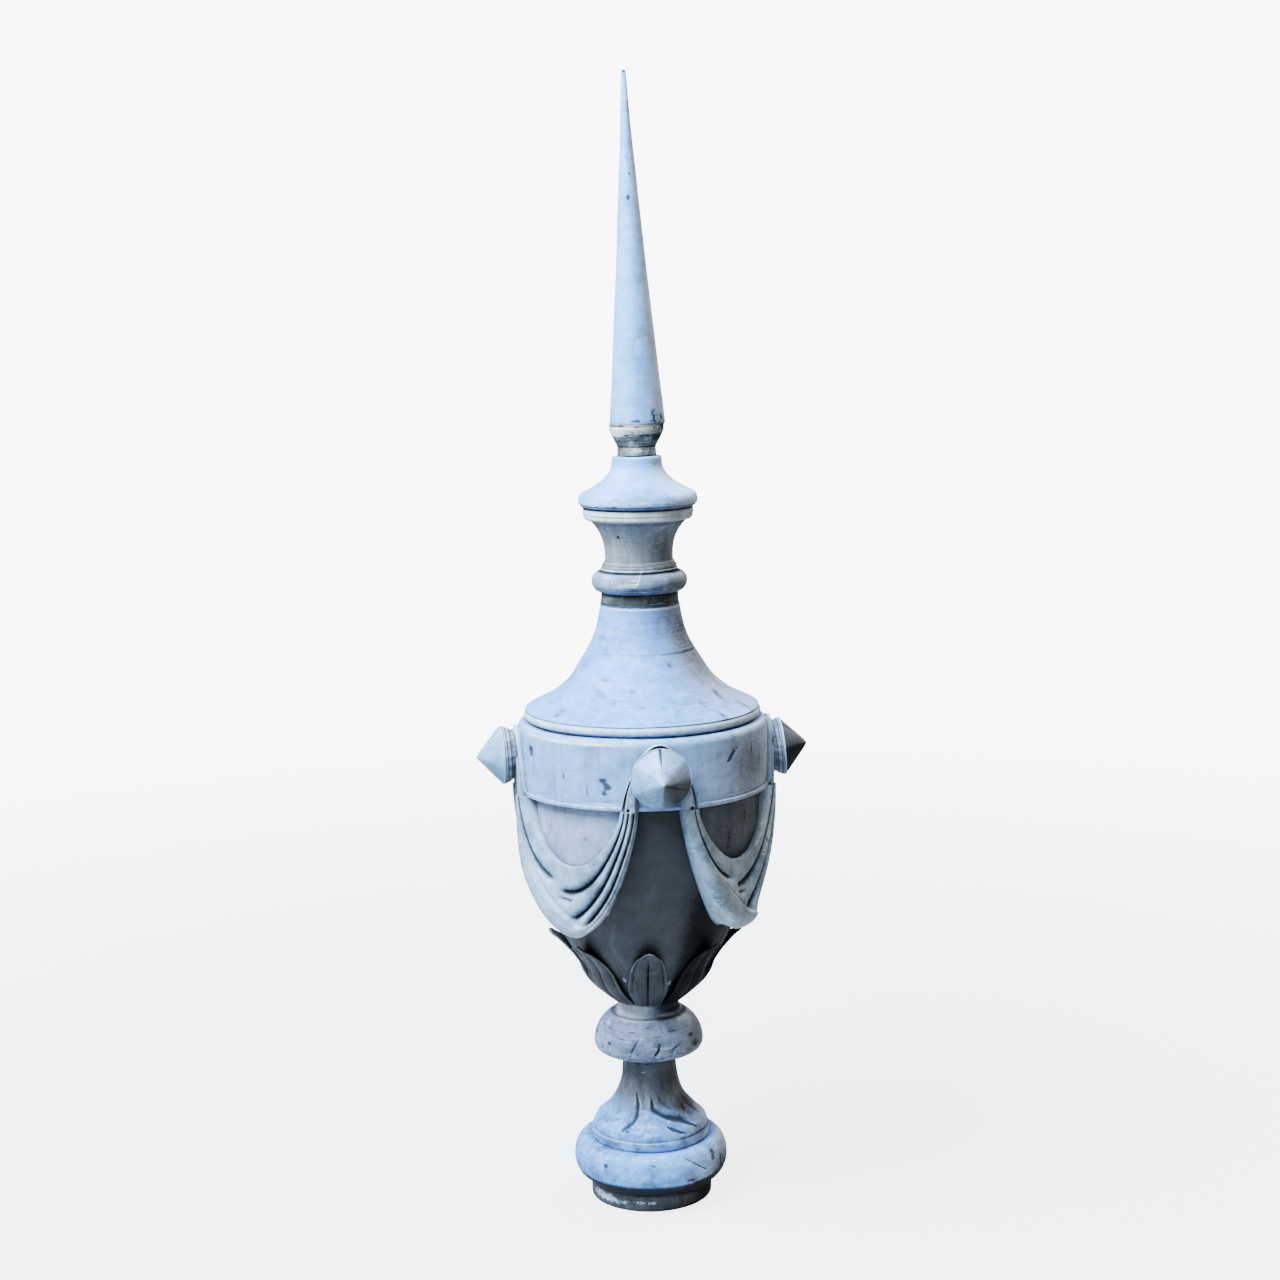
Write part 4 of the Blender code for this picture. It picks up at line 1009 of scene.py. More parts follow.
band_line = [(0, BAND_TOP)]
shoulder_foot = BAND_TOP - SHOULDER_HEIGHT
band_line += arc(BAND_R - SHOULDER_WIDTH, shoulder_foot, SHOULDER_WIDTH, SHOULDER_HEIGHT, 90, 0)
band_line += [(BAND_R, BAND_BOTTOM + 5.5 * MM), (HEM_R, BAND_BOTTOM + 4.5 * MM), (HEM_R, BAND_BOTTOM),
              (0, BAND_BOTTOM)]
band_scar = [(39.4, 0.6407), (36, 0.632), (32.8, 0.6228)]
band_dents = [
    (-4.0 * MM, spot(-68.4, 0.6348, 0.0052, 0.0062)),
    (-1.0 * MM, stroke([(-44, 0.6228), (-46, 0.6019)], 3 * MM)),
    (-0.8 * MM, spot(-24, 0.599, 0.010, 0.008)),
    (-1.2 * MM, stroke(band_scar, 3 * MM)),
    (-0.7 * MM, ring(BAND_BOTTOM + 8 * MM, 2.0 * MM)),
    (-1.2 * MM, spot(52, 0.612, 0.018, 0.020)),
    (-1.0 * MM, spot(200, 0.612, 0.020, 0.020)),
    (0.5 * MM, uneven(14, finest=9)),
]
band_paint = {
    "stain": [(1.3, spot(-68.4, 0.6348, 0.0062, 0.0075)),
              (0.75, stroke([(-44.1, 0.6228), (-45.9, 0.6019)], 1.8 * MM)),
              *spots((0.95, -25.3, 0.6109, 6, 4), (0.95, -23.0, 0.6019, 6.5, 5),
                     (0.80, -24.4, 0.5935, 4, 3.5)),
              (0.65, stroke([(-31.9, 0.6168), (-32.8, 0.5870)], 1.4 * MM)),
              (1.2, stroke(band_scar, 2.6 * MM)), (0.5, stroke([(36, 0.642), (31, 0.630)], 1.5 * MM)),
              *spots((0.55, 19.7, 0.6300, 3, 15), (0.5, 24, 0.6150, 2.5, 14), (0.6, 50.6, 0.6330, 4, 18),
                     (0.55, 58, 0.6150, 4, 20), (0.5, 45, 0.6380, 3, 12), (0.5, 64, 0.6300, 4, 20),
                     (0.5, -11, 0.577, 6, 2.5), (0.45, -35, 0.650, 10, 1.2)),
              (0.6, stroke([(140, 0.640), (143, 0.610)], 2.5 * MM)),
              (0.6, spot(-160, 0.606, 0.005, 0.016))],
    "wear_and_highlight": [*spots((0.75, -22, 0.5795, 55, 2.6), (0.55, 40, 0.5800, 60, 2.8),
                    (0.65, -62, 0.5790, 30, 2.2)), (0.6, spot(-42, BAND_TOP - 7 * MM, 0.06, 0.0022)),
             (0.45, ring(BAND_TOP - 6 * MM, 1.6 * MM)),
             *spots((0.5, 50, 0.646, 12, 1.6), (0.5, 180, 0.5800, 80, 2.8))],
    # Painted shade on the right side, darker and duller, and a dark line above the hem.
    "soil_and_shade": [(0.22, spot(52, 0.615, 0.050, 0.050)), (0.45, ring(BAND_BOTTOM + 6.5 * MM, 1.2 * MM))],
    "grey_and_shade": [(0.62, spot(52, 0.615, 0.060, 0.055))],
}
band = spin("band_hoop", softened(band_line, 0.0010), 320, 0.0030, band_dents, band_paint)
wear(band, "band", streaked_zinc)

# %% [markdown]
# ## The hooks
# The cloth seems to hang from an arch round each boss. The arch is a half-round bar, so its section is a
# pillow: high along the middle of the bar and low at both edges. We lay the bar out as a strip. One
# direction follows the arch from the foot of the left leg over the top to the foot of the right leg, and
# the other crosses the bar.

# %% Hooks
HOOK_BOTTOM = bottom_of("hook_1")
HOOK_HEIGHT = top_of("hook_1") - HOOK_BOTTOM
HOOK_BEND = 0.85
LEG_INNER = HOOK_HALF_WIDTH - HOOK_LEG_WIDTH
BOSS_LEVEL = BAND_BOTTOM + 48 * MM
DRUM_R = 31.8 * MM


def make_hook(number, rows=26, columns=120):
    centre = 90 * (number - 1)
    turn = np.linspace(0, pi, columns + 1)[None, :]
    out = np.linspace(1, 0, rows + 1)[:, None]
    outer_x = -HOOK_HALF_WIDTH * np.cos(turn)
    outer_z = HOOK_BOTTOM + HOOK_HEIGHT * np.sin(turn) ** (2 * HOOK_BEND)
    inner_x = -LEG_INNER * np.cos(turn)
    lift = ease(0.0, 0.45, np.sin(turn))
    inner_z = HOOK_BOTTOM + (BOSS_LEVEL - HOOK_BOTTOM + 18 * MM) * lift * np.sin(turn) ** 0.5
    x = inner_x + (outer_x - inner_x) * out
    z = inner_z + (outer_z - inner_z) * out
    pillow = 0.8 + 8.0 * (1 - ease(0.66, 0.80, out)) * ease(-0.05, 0.22, out)
    foot = ease(0, 0.25, np.sin(turn))
    rim = 5.0 * np.exp(-(((out - 0.92) / 0.075) ** 2)) * ease(0.05, 0.3, np.sin(turn))
    rough = 0.6 * uneven(60 + number, finest=9)(np.degrees(turn) * 3, out * 0.05, 1) * (1 - foot)
    from_leg_end = np.abs(turn - pi / 2) - pi / 2
    hole = -5.0 * np.exp(-(((out - 0.55) / 0.09) ** 2 + ((from_leg_end + 0.10) / 0.035) ** 2))
    face = BAND_R + (pillow + rim + rough + hole) * MM
    azimuth = centre + np.degrees(np.arcsin(np.clip(x / HOOK_FRONT_R, -1, 1)))
    back = np.full_like(face, BAND_R + 0.2 * MM)
    soil_and_shade = 1.1 * np.exp(-(((out - 0.79) / 0.06) ** 2)) * ease(0.1, 0.4, np.sin(turn))
    soil_and_shade = soil_and_shade + 0.8 * (1 - ease(0, 0.08, np.sin(turn))) - 0.3 * hole
    wear_and_highlight = 0.45 * np.exp(-(((out - 0.45) / 0.2) ** 2)) * (1 - ease(0.2, 0.5, np.sin(turn)))
    return closed_sheet(f"hook_{number}_arch", azimuth, z, face, back, soil_and_shade, wear_and_highlight)


for number in range(1, BOSSES + 1):
    wear(make_hook(number), f"hook_{number}", draped_zinc)

# %% [markdown]
# ## The bosses
# Each boss is a short drum with a shallow cone on it. The cone was cut from sheet and bent along a few
# seams, so it is part cone, part pyramid. One boss was knocked out of line. Rather than repeat its tilt, we
# read each boss's axis from the solid in the frame: the direction in which its points are spread least.

# %% Bosses
CONE_SEAMS = (92, 38, -25, -86, -150, 152)
CONE_LIP = 2.5 * MM
CONE_TWISTS = (0, 25, 40, 70)
# Painted shade on the cone facets that are turned away from the light.
CONE_SHADE = (  # for each cone, how dark, at which angle, and how far to each side
    ((1.1, -45, 45),),
    ((1.7, -60, 110), (1.4, 20, 50), (0.9, 150, 80)),
    ((0.5, -60, 60),),
    ((0.2, -70, 60),),
)
DRUM_DEPTH = 13 * MM


def boss_axis(node):
    """The middle of a boss's cone and the direction that it points in."""
    points = np.array([v.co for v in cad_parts[node].data.vertices])
    middle = points.mean(0)
    direction = np.linalg.svd(points - middle)[2][2]
    outward = direction * np.sign(direction[:2] @ middle[:2])
    reach = (points - middle) @ outward
    return middle, outward, reach.min(), reach.max()


def boss_matrix(node):
    """Places a boss that was modelled along +Z with its cone's flat back at the origin."""
    middle, outward, low, high = boss_axis(node)
    back = Vector(middle + outward * low)
    z = Vector(outward)
    x = Vector((0, 0, 1)).cross(z).normalized()
    return Matrix.Translation(back) @ Matrix((x, z.cross(x), z)).transposed().to_4x4(), high - low


def cone_skin(name, reach, radius, twist, facet_shade):
    """A shallow cone with facets between its seams. Angles run round it, 90 is up."""
    rings, columns = 40, 160
    out = np.linspace(0, 1, rings + 1)[:, None]
    angle = np.linspace(0, 360, columns, endpoint=False)[None, :]
    seams = sorted((s + twist) % 360 for s in CONE_SEAMS)
    pairs = list(zip(seams, seams[1:] + [seams[0] + 360]))
    edge = np.ones_like(angle)
    near_seam = np.full_like(angle, 180.0)
    for low, high in pairs:
        inside = (angle - low) % 360 < high - low
        middle, half = (low + high) / 2, (high - low) / 2
        chord = cos(radians(half)) / np.cos(np.radians(turned_by(angle, middle)))
        edge = np.where(inside, chord, edge)
        near_seam = np.minimum(near_seam, np.abs(turned_by(angle, low)))
    facet = 0.38
    fall = out * (1 - facet) + facet * out / np.maximum(0.6, edge)
    height = reach * (1 - np.minimum(1, fall)) ** 0.96
    height = height - 1.0 * MM * np.exp(-((out / 0.10) ** 2))
    arc_mm = np.radians(near_seam) * out * radius
    crack = np.exp(-((arc_mm / (0.8 * MM)) ** 2)) * ease(0.05, 0.3, out) * (1 - 0.5 * ease(0.5, 0.9, out))
    off_notch = np.radians(turned_by(angle, CONE_SEAMS[0] + twist)) * out * radius
    notch = np.exp(-((off_notch / (2.6 * MM)) ** 2)) * ease(0.35, 0.9, out)
    bumps = uneven(70 + int(twist), finest=7)(angle, out * 0.06, 1)
    height = height - (0.5 * crack + 1.6 * notch - 0.45 * bumps * out) * MM
    turn = np.radians(angle)
    sides = [(radius, CONE_LIP * 0.7), (radius * 0.995, CONE_LIP * 0.2), (radius * 0.975, 0.0), (0.0, 0.0)]
    reaches = np.concatenate((out * radius, [[r] for r, z in sides]))
    levels = np.concatenate((CONE_LIP + np.maximum(0, height), [np.full(columns, z) for r, z in sides]))
    points = np.stack((reaches * np.cos(turn), reaches * np.sin(turn), levels), -1)
    extra = np.zeros((len(sides), columns))
    soil_and_shade = np.concatenate((0.5 * crack + 0.8 * notch, extra))
    # Painted shade on the facets turned away from the light: duller, and darker still where it is
    # strongest.
    shade = sum(amount * np.exp(-((turned_by(angle, at) / wide) ** 4)) for amount, at, wide in facet_shade)
    grey_and_shade = np.concatenate((shade * ease(0.0, 0.12, out), extra + 0.3))
    soil_and_shade = soil_and_shade + np.concatenate((np.maximum(0, shade - 0.9) * 2 * ease(0.0, 0.12, out), extra))
    return grid_mesh(name, points, {"soil_and_shade": soil_and_shade, "grey_and_shade": grey_and_shade}, True, True, True, 50)


def drum_skin(name, radius):
    """The drum behind a cone: it narrows from the cone to its neck, with two shallow grooves."""
    foot = -DRUM_DEPTH - 9 * MM
    line = [(0, 0), (radius - 0.8 * MM, -0.2 * MM), (radius - 0.4 * MM, -2.2 * MM),
            (radius - 2.0 * MM, -3.2 * MM), (radius - 2.6 * MM, -7.5 * MM), (radius - 4.0 * MM, -8.4 * MM),
            (DRUM_R + 0.6 * MM, -DRUM_DEPTH + 1 * MM), (DRUM_R + 1.6 * MM, -DRUM_DEPTH),
            (DRUM_R, -DRUM_DEPTH - 3 * MM), (DRUM_R - 1 * MM, foot), (0, foot)]
    push = [(0.35 * MM, uneven(90, finest=8))]
    paint = {"soil_and_shade": [(0.7, ring(-3.0 * MM, 0.7 * MM)), (0.6, ring(-8.2 * MM, 0.8 * MM)),
                        (0.5, ring(-DRUM_DEPTH, 1.5 * MM))]}
    return spin(name, softened(line, 0.0008), 144, 0.0012, push, paint)


lip_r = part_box("boss_cone_3")[1].x
for number in range(1, BOSSES + 1):
    place, reach = boss_matrix(f"boss_cone_{number}")
    twist, facet_shade = CONE_TWISTS[number - 1], CONE_SHADE[number - 1]
    cone = cone_skin(f"boss_cone_{number}_skin", reach - CONE_LIP, lip_r, twist, facet_shade)
    drum = drum_skin(f"boss_drum_{number}_skin", lip_r)
    for piece in (cone, drum):
        piece.data.transform(place)
    wear(cone, f"boss_cone_{number}", boss_zinc)
    wear(drum, f"boss_drum_{number}", roll_zinc)

# %% [markdown]
# ## The domed cover
# The cover sweeps from its neck down to a bead that rests inside the band's shoulder. It was spun, so
# faint rings run round its upper part. Its top edge is ragged where the neck was soldered on.

# %% Dome
DOME_BOTTOM = bottom_of("dome")
DOME_TOP = top_of("dome")
BEAD_R = radius_of("dome")
BEAD_HEIGHT = 14.7 * MM
DOME_TOP_R = 52 * MM
DOME_EDGE_R = BEAD_R - 2 * MM
DOME_SWEEP = (  # the share of the way out, and the share of the way down
    (0, 0), (0.045, 0.18), (0.14, 0.38), (0.29, 0.57), (0.50, 0.77), (0.75, 0.905), (0.92, 0.965), (1, 1))

sweep_down = [down for out, down in DOME_SWEEP]
sweep_out = [out for out, down in DOME_SWEEP]
edge_level = DOME_BOTTOM + BEAD_HEIGHT
dome_line = [(0, DOME_TOP)]
for share in np.linspace(0, 1, 60):
    out = float(curve_at(tuple(zip(sweep_down, sweep_out)), share))
    level = DOME_TOP + (edge_level - DOME_TOP) * share
    dome_line.append((DOME_TOP_R + (DOME_EDGE_R - DOME_TOP_R) * out, level))
bead_rise = BEAD_HEIGHT / 2
dome_line += [(DOME_EDGE_R - 1.0 * MM, edge_level - 1.5 * MM)]
dome_line += arc(BEAD_R - bead_rise, DOME_BOTTOM + bead_rise, bead_rise, bead_rise, 62, -84, 16)
dome_line += [(0, DOME_BOTTOM)]
dome_push = [
    (-1.1 * MM, spot(30, 0.712, 0.020, 0.012)), (-0.9 * MM, spot(22, 0.695, 0.014, 0.006)),
    (-1.2 * MM, spot(-25, 0.700, 0.022, 0.010)), (-0.8 * MM, spot(-50, 0.735, 0.020, 0.016)),
    (-0.35 * MM, ring(0.7545, 0.9 * MM)), (0.3 * MM, ring(0.7570, 1.2 * MM)),
    (-0.25 * MM, ring(0.772, 0.8 * MM)), (-0.2 * MM, ring(0.779, 0.8 * MM)),
    (-0.2 * MM, ring(0.787, 0.8 * MM)),
    (-1.2 * MM, spot(140, 0.715, 0.025, 0.012)), (-1.0 * MM, spot(-140, 0.730, 0.020, 0.014)),
    (0.45 * MM, uneven(21, finest=6)),
]
DOME_DASHES = (  # azimuth, level in metres, half width and half height in millimetres
    (-41, 0.7121, 7, 2.2), (-34.7, 0.7071, 6, 2.4), (-14.1, 0.7131, 4, 2.0), (-25.3, 0.7005, 5, 2.4),
    (-57.2, 0.6888, 7, 1.6), (-56.2, 0.6834, 7, 2.4), (6.6, 0.6951, 5, 2.0), (32.8, 0.695, 4, 5.0),
    (37.5, 0.6821, 4, 4.0), (61.9, 0.6837, 5, 4.5), (-6.6, 0.6963, 4, 1.2), (-38, 0.726, 4, 3.0),
    (20, 0.742, 3, 3.0), (52, 0.7, 4, 6.0), (120, 0.715, 5, 6.0), (-130, 0.7, 6, 5.0),
    (170, 0.69, 6, 2.5),
)


def lathe_rings(azimuth, z, r):
    """The rings that the lathe left on the upper part of the cover, clearest at the right."""
    pitch = 0.5 + 0.5 * np.sin(z * tau / (5.2 * MM) + 0.4 * np.sin(np.radians(azimuth) * 3))
    patches = 0.5 + 0.5 * uneven(23)(azimuth, z, r)
    right = 0.3 + np.exp(-((turned_by(azimuth, 40) / 45) ** 2))
    return pitch * patches * right * between(0.752, 0.806, 4 * MM)(azimuth, z, r)


def dashes(amount, grow_wide, grow_high):
    """The short dark dashes that lie round the lower part of the cover."""
    return [(amount, spot(at, level, wide * grow_wide * MM, high * grow_high * MM))
            for at, level, wide, high in DOME_DASHES]


dome_paint = {
    "stain": [(0.95, ring(DOME_TOP, 3.2 * MM))] + dashes(0.42, 1.3, 1.5),
    # Painted shade on the right side, duller and darker.
    "grey_and_shade": [(0.60, spot(58, 0.755, 0.055, 0.080))],
    "soil_and_shade": [*dashes(0.40, 1.6, 1.6), (0.34, spot(58, 0.765, 0.055, 0.080)),
               (0.5, ring(edge_level - 1.0 * MM, 1.3 * MM)), (0.14, ring(0.7545, 0.9 * MM)),
               (0.24, lathe_rings), (0.25, ring(DOME_BOTTOM, 1.5 * MM))],
    "wear_and_highlight": [(0.75, ring(DOME_TOP - 5.0 * MM, 1.8 * MM)), (0.85, ring(DOME_BOTTOM + 8 * MM, 5.5 * MM)),
             (0.35, spot(-40, 0.722, 0.05, 0.010))],
}
dome = spin("dome_cover", softened(dome_line, 0.0008), 320, 0.0026, dome_push, dome_paint)
wear(dome, "dome", dome_zinc)

# %% [markdown]
# ## The neck
# Above the cover come four pieces: a short stained tube, a fat roll, a waisted vase with a flat rim, and a
# cap shaped like a bell. The roll carries white runs of solder. The same lines raise them a little and
# paint them bare.

# %% Tube and roll
TUBE_R = radius_of("neck_tube")
TUBE_TOP = top_of("neck_tube")
TUBE_BOTTOM = bottom_of("neck_tube")
tube_line = [(0, TUBE_TOP), (TUBE_R - 0.8 * MM, TUBE_TOP), (TUBE_R, TUBE_BOTTOM), (0, TUBE_BOTTOM)]
tube = spin("neck_tube_skin", softened(tube_line), 192, 0.0020, [(0.5 * MM, uneven(24, finest=9))],
            {"stain": [(0.5, spot(12, TUBE_BOTTOM + 4 * MM, 0.012, 0.004))],
             "soil_and_shade": [(0.6, ring(TUBE_TOP, 2.0 * MM))]})
wear(tube, "neck_tube", brown_zinc)

ROLL_R = radius_of("neck_roll")
ROLL_BOTTOM = bottom_of("neck_roll")
ROLL_TOP = top_of("neck_roll")
LIP_R = 50.5 * MM
ROLL_RISE = 14 * MM
roll_line = [(0, ROLL_TOP), (LIP_R, ROLL_TOP), (LIP_R + 0.6 * MM, ROLL_TOP - 2.5 * MM),
             (LIP_R - 2.0 * MM, ROLL_TOP - 4.0 * MM)]
roll_line += arc(LIP_R - 1 * MM, ROLL_BOTTOM + ROLL_RISE, ROLL_R - LIP_R + 1 * MM, ROLL_RISE, 76, -84, 24)
roll_line += [(0, ROLL_BOTTOM)]
runs = [[(1.6, 0.866), (-5.2, 0.8595), (-8.7, 0.8473), (-12.1, 0.8423)], [(-8.7, 0.8473), (-22, 0.846)],
        [(-43.3, 0.8540), (-41, 0.8470), (-39.8, 0.8407)], [(-8.7, 0.8510), (-18, 0.8520)]]
roll_paint = {
    # Painted shade on the right side, and dull grey at the foot of the roll.
    "grey_and_shade": [(0.45, spot(55, 0.846, 0.050, 0.020)), (0.30, ring(ROLL_BOTTOM + 3 * MM, 5 * MM))],
    "wear_and_highlight": [(0.80, stroke(run, 1.0 * MM)) for run in runs] + [(0.45, ring(ROLL_TOP - 1 * MM, 1.2 * MM))],
    "soil_and_shade": [(0.8, ring(ROLL_TOP - 4 * MM, 1.4 * MM)), (0.50, ring(0.850, 0.6 * MM)),
               (0.50, ring(0.846, 0.6 * MM)), (0.55, ring(0.8415, 0.7 * MM)), (0.45, ring(0.838, 0.7 * MM)),
               (0.6, ring(ROLL_BOTTOM, 1.5 * MM))],
}
roll_push = [(0.4 * MM, stroke(run, 1.4 * MM)) for run in runs] + [(0.25 * MM, uneven(26, finest=8))]
roll = spin("neck_roll_skin", softened(roll_line, 0.0008), 208, 0.0018, roll_push, roll_paint)
wear(roll, "neck_roll", roll_zinc)

# %% [markdown]
# The vase stands on a low stepped ring. Its waist is a flare that widens to a flat rim. The rim is chalky
# white, which one band of the layer of wear paints, and the throat under it is dark and streaked.

# %% Vase
VASE_BOTTOM = bottom_of("vase_neck")
VASE_TOP = top_of("vase_neck")
VASE_RIM_R = radius_of("vase_neck")
VASE_RIM_HEIGHT = 15.2 * MM
WAIST_R = 44.8 * MM
THROAT_R = 64.8 * MM
throat_level = VASE_TOP - VASE_RIM_HEIGHT
vase_line = [(0, VASE_TOP), (VASE_RIM_R - 0.5 * MM, VASE_TOP), (VASE_RIM_R, VASE_TOP - 7 * MM),
             (VASE_RIM_R - 1.0 * MM, VASE_TOP - 8 * MM), (VASE_RIM_R - 1.2 * MM, throat_level + 3 * MM),
             (VASE_RIM_R - 4.0 * MM, throat_level)]
vase_line += flare(WAIST_R, VASE_BOTTOM + 9 * MM, THROAT_R, throat_level, 2.8)[::-1]
vase_line += [(WAIST_R + 1.8 * MM, VASE_BOTTOM + 8.4 * MM), (WAIST_R + 2.2 * MM, VASE_BOTTOM + 5 * MM),
              (WAIST_R + 4.3 * MM, VASE_BOTTOM + 4 * MM), (WAIST_R + 4.5 * MM, VASE_BOTTOM),
              (0, VASE_BOTTOM)]
vase_paint = {
    "soil_and_shade": [(0.45, ring(VASE_TOP - 7.6 * MM, 0.7 * MM)), (0.5, ring(VASE_TOP - 0.3 * MM, 1.2 * MM)),
               (0.65, ring(VASE_BOTTOM + 4.4 * MM, 0.8 * MM)),
               (0.5, ring(VASE_BOTTOM + 9.2 * MM, 0.8 * MM)),
               (0.50, between(throat_level - 6 * MM, throat_level, 5 * MM))],
    "stain": [*spots((1.0, -38.6, 0.9063, 2.6, 2.6), (0.35, 40, 0.895, 6, 22), (0.3, 20, 0.895, 3, 24),
                     (0.35, 58, 0.890, 4, 20), (0.3, 160, 0.895, 6, 22))],
    "wear_and_highlight": [(1.2, between(throat_level + 1 * MM, VASE_TOP - 1 * MM, 1.5 * MM))],
}
vase_push = [(0.25 * MM, uneven(28, finest=6))]
vase = spin("vase_neck_skin", softened(vase_line, 0.0008), 224, 0.0020, vase_push, vase_paint)
wear(vase, "vase_neck", neck_zinc)

# %% [markdown]
# The cap is a flare as well, with a round shoulder and a lip that overhangs the vase's rim. Dark rings in
# the layer of dirt and shade mark the joints under the lip, and its small marks are painted one by one.

# %% Cap
CAP_BOTTOM = bottom_of("cap")
CAP_TOP = top_of("cap")
CAP_R = radius_of("cap")
CAP_TOP_R = 33 * MM
cap_shoulder = arc(CAP_R - 10 * MM, CAP_BOTTOM + 9.5 * MM, 10 * MM, 12 * MM, 78, 0, 16)
cap_neck = CAP_TOP - 5.7 * MM
cap_line = [(0, CAP_TOP)] + arc(CAP_TOP_R - 3 * MM, CAP_TOP - 3 * MM, 3 * MM, 3 * MM, 90, 10, 8)
cap_line += flare(CAP_TOP_R, cap_neck, *cap_shoulder[0], 2.3) + cap_shoulder[1:]
cap_line += [(CAP_R - 0.6 * MM, CAP_BOTTOM + 5.0 * MM), (CAP_R - 2.4 * MM, CAP_BOTTOM + 4.2 * MM),
             (CAP_R - 2.6 * MM, CAP_BOTTOM + 2.2 * MM), (VASE_RIM_R - 1.0 * MM, CAP_BOTTOM + 1.6 * MM),
             (VASE_RIM_R - 1.2 * MM, CAP_BOTTOM), (0, CAP_BOTTOM)]
cap_paint = {
    "soil_and_shade": [(0.8, ring(CAP_BOTTOM + 1.2 * MM, 1.8 * MM)), (0.7, ring(CAP_BOTTOM + 4.6 * MM, 0.9 * MM))],
    "stain": [(0.45, spot(38, 1.000, 0.009, 0.005)), (0.5, spot(-30, CAP_BOTTOM + 6 * MM, 0.006, 0.0012)),
              (0.5, spot(5, CAP_BOTTOM + 6 * MM, 0.012, 0.0009)),
              (0.55, spot(-45, CAP_BOTTOM + 6 * MM, 0.018, 0.0010)),
              (0.5, spot(-12, CAP_BOTTOM + 6.5 * MM, 0.012, 0.0010)),
              (0.5, spot(18, CAP_BOTTOM + 10 * MM, 0.002, 0.0015)),
              (0.5, spot(66, CAP_BOTTOM + 16 * MM, 0.006, 0.0015)),
              (0.35, spot(30, CAP_BOTTOM + 45 * MM, 0.006, 0.008)),
              (0.45, spot(170, CAP_BOTTOM + 8 * MM, 0.02, 0.0012))],
    "wear_and_highlight": [(0.48, ring(CAP_BOTTOM + 10 * MM, 5.0 * MM))],
}
cap_push = [(0.3 * MM, uneven(31, finest=5))]
cap = spin("cap_skin", softened(cap_line, 0.0010), 224, 0.0020, cap_push, cap_paint)
wear(cap, "cap", pale_zinc)

# %% [markdown]
# ## The spike and its socket
# The spike sits in a small socket of lead solder. Solder that was wiped on by hand is lumpy, so an uneven
# field with fine waves pushes the socket's skin about, and its paint is blotchy.

# %% Socket
SOCKET_BOTTOM = bottom_of("spike_socket")
SOCKET_TOP = top_of("spike_socket")
SOCKET_R = radius_of("spike_socket")
SOCKET_NECK_R = 25.7 * MM
SOCKET_NECK_TOP = SOCKET_BOTTOM + 12.7 * MM
bulb = [(SOCKET_NECK_R + (SOCKET_R - SOCKET_NECK_R) * sin(pi / 2 * s) ** 1.15,
         SOCKET_NECK_TOP + (SOCKET_TOP - SOCKET_NECK_TOP) * s) for s in np.linspace(1, 0, 24)]
socket_line = [(0, SOCKET_TOP)] + bulb + [(SOCKET_NECK_R - 0.5 * MM, SOCKET_NECK_TOP - 1 * MM)]
socket_line += [(SOCKET_NECK_R, SOCKET_BOTTOM), (0, SOCKET_BOTTOM)]
socket_paint = {
    "soil_and_shade": [(0.6, ring(SOCKET_NECK_TOP, 1.4 * MM)), (0.8, ring(SOCKET_BOTTOM, 1.6 * MM)),
               # Painted shade on the right side.
               (0.45, spot(62, SOCKET_TOP - 15 * MM, 0.018, 0.022))],
    "stain": [(0.42, ring(SOCKET_TOP - 1.0 * MM, 1.0 * MM)),
              (1.0, stroke([(-80, 1.0480), (-62, 1.0486), (-50, 1.0496)], 1.1 * MM)),
              *spots((1.0, -42, 1.0490, 6, 1.8), (1.0, 64, 1.0470, 6, 3)),
              (0.7, spot(50, SOCKET_TOP - 17 * MM, 0.015, 0.008)),
              (0.8, spot(-27, 1.0178, 0.004, 0.0010)), (0.6, spot(10, SOCKET_TOP - 14 * MM, 0.012, 0.002)),
              (0.6, spot(-50, SOCKET_TOP - 21 * MM, 0.012, 0.0014)),
              (0.6, spot(-20, SOCKET_TOP - 9 * MM, 0.007, 0.002))],
    "wear_and_highlight": [(0.48, between(SOCKET_TOP - 15 * MM, SOCKET_TOP + 5 * MM, 4 * MM)),
             (0.75, spot(-5, SOCKET_BOTTOM + 8 * MM, 0.008, 0.004)),
             (0.8, spot(-62, SOCKET_TOP - 9 * MM, 0.012, 0.007)),
             (0.5, spot(-5, SOCKET_TOP - 7 * MM, 0.012, 0.0015)),
             (0.4, spot(180, SOCKET_TOP - 12 * MM, 0.012, 0.006))],
}
socket_push = [(0.55 * MM, uneven(33, finest=9)), (-0.8 * MM, ring(SOCKET_TOP - 3.5 * MM, 1.0 * MM))]
socket = spin("spike_socket_skin", softened(socket_line, 0.0008), 144, 0.0016, socket_push, socket_paint)
wear(socket, "spike_socket", solder_zinc)

# %% [markdown]
# The spike leans a little to the left. The lean is read from the frame: the middle of the solid's top
# against the middle of its foot. The spike is turned upright and then sheared, so that its foot stays
# level. Two thirds of the way up it has a few dark marks and a run of solder, and its very end is dark.

# %% Spike
spike_points = np.array([v.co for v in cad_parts["spike"].data.vertices])
SPIKE_FOOT = spike_points[:, 2].min()
SPIKE_TIP = spike_points[:, 2].max()
SPIKE_HEIGHT = SPIKE_TIP - SPIKE_FOOT
at_foot = spike_points[spike_points[:, 2] < SPIKE_FOOT + 2 * MM]
foot_middle = (at_foot.min(0) + at_foot.max(0)) / 2
tip_middle = spike_points[spike_points[:, 2] > SPIKE_TIP - 1 * MM].mean(0)
lean = (tip_middle - foot_middle) / (tip_middle[2] - foot_middle[2])
SPIKE_BASE_R = 36.4 * MM
SPIKE_TIP_R = 3.2 * MM
SPIKE_TAPER = 1.17
print("the spike leans by", round(degrees(np.hypot(*lean[:2])), 2), "degrees")

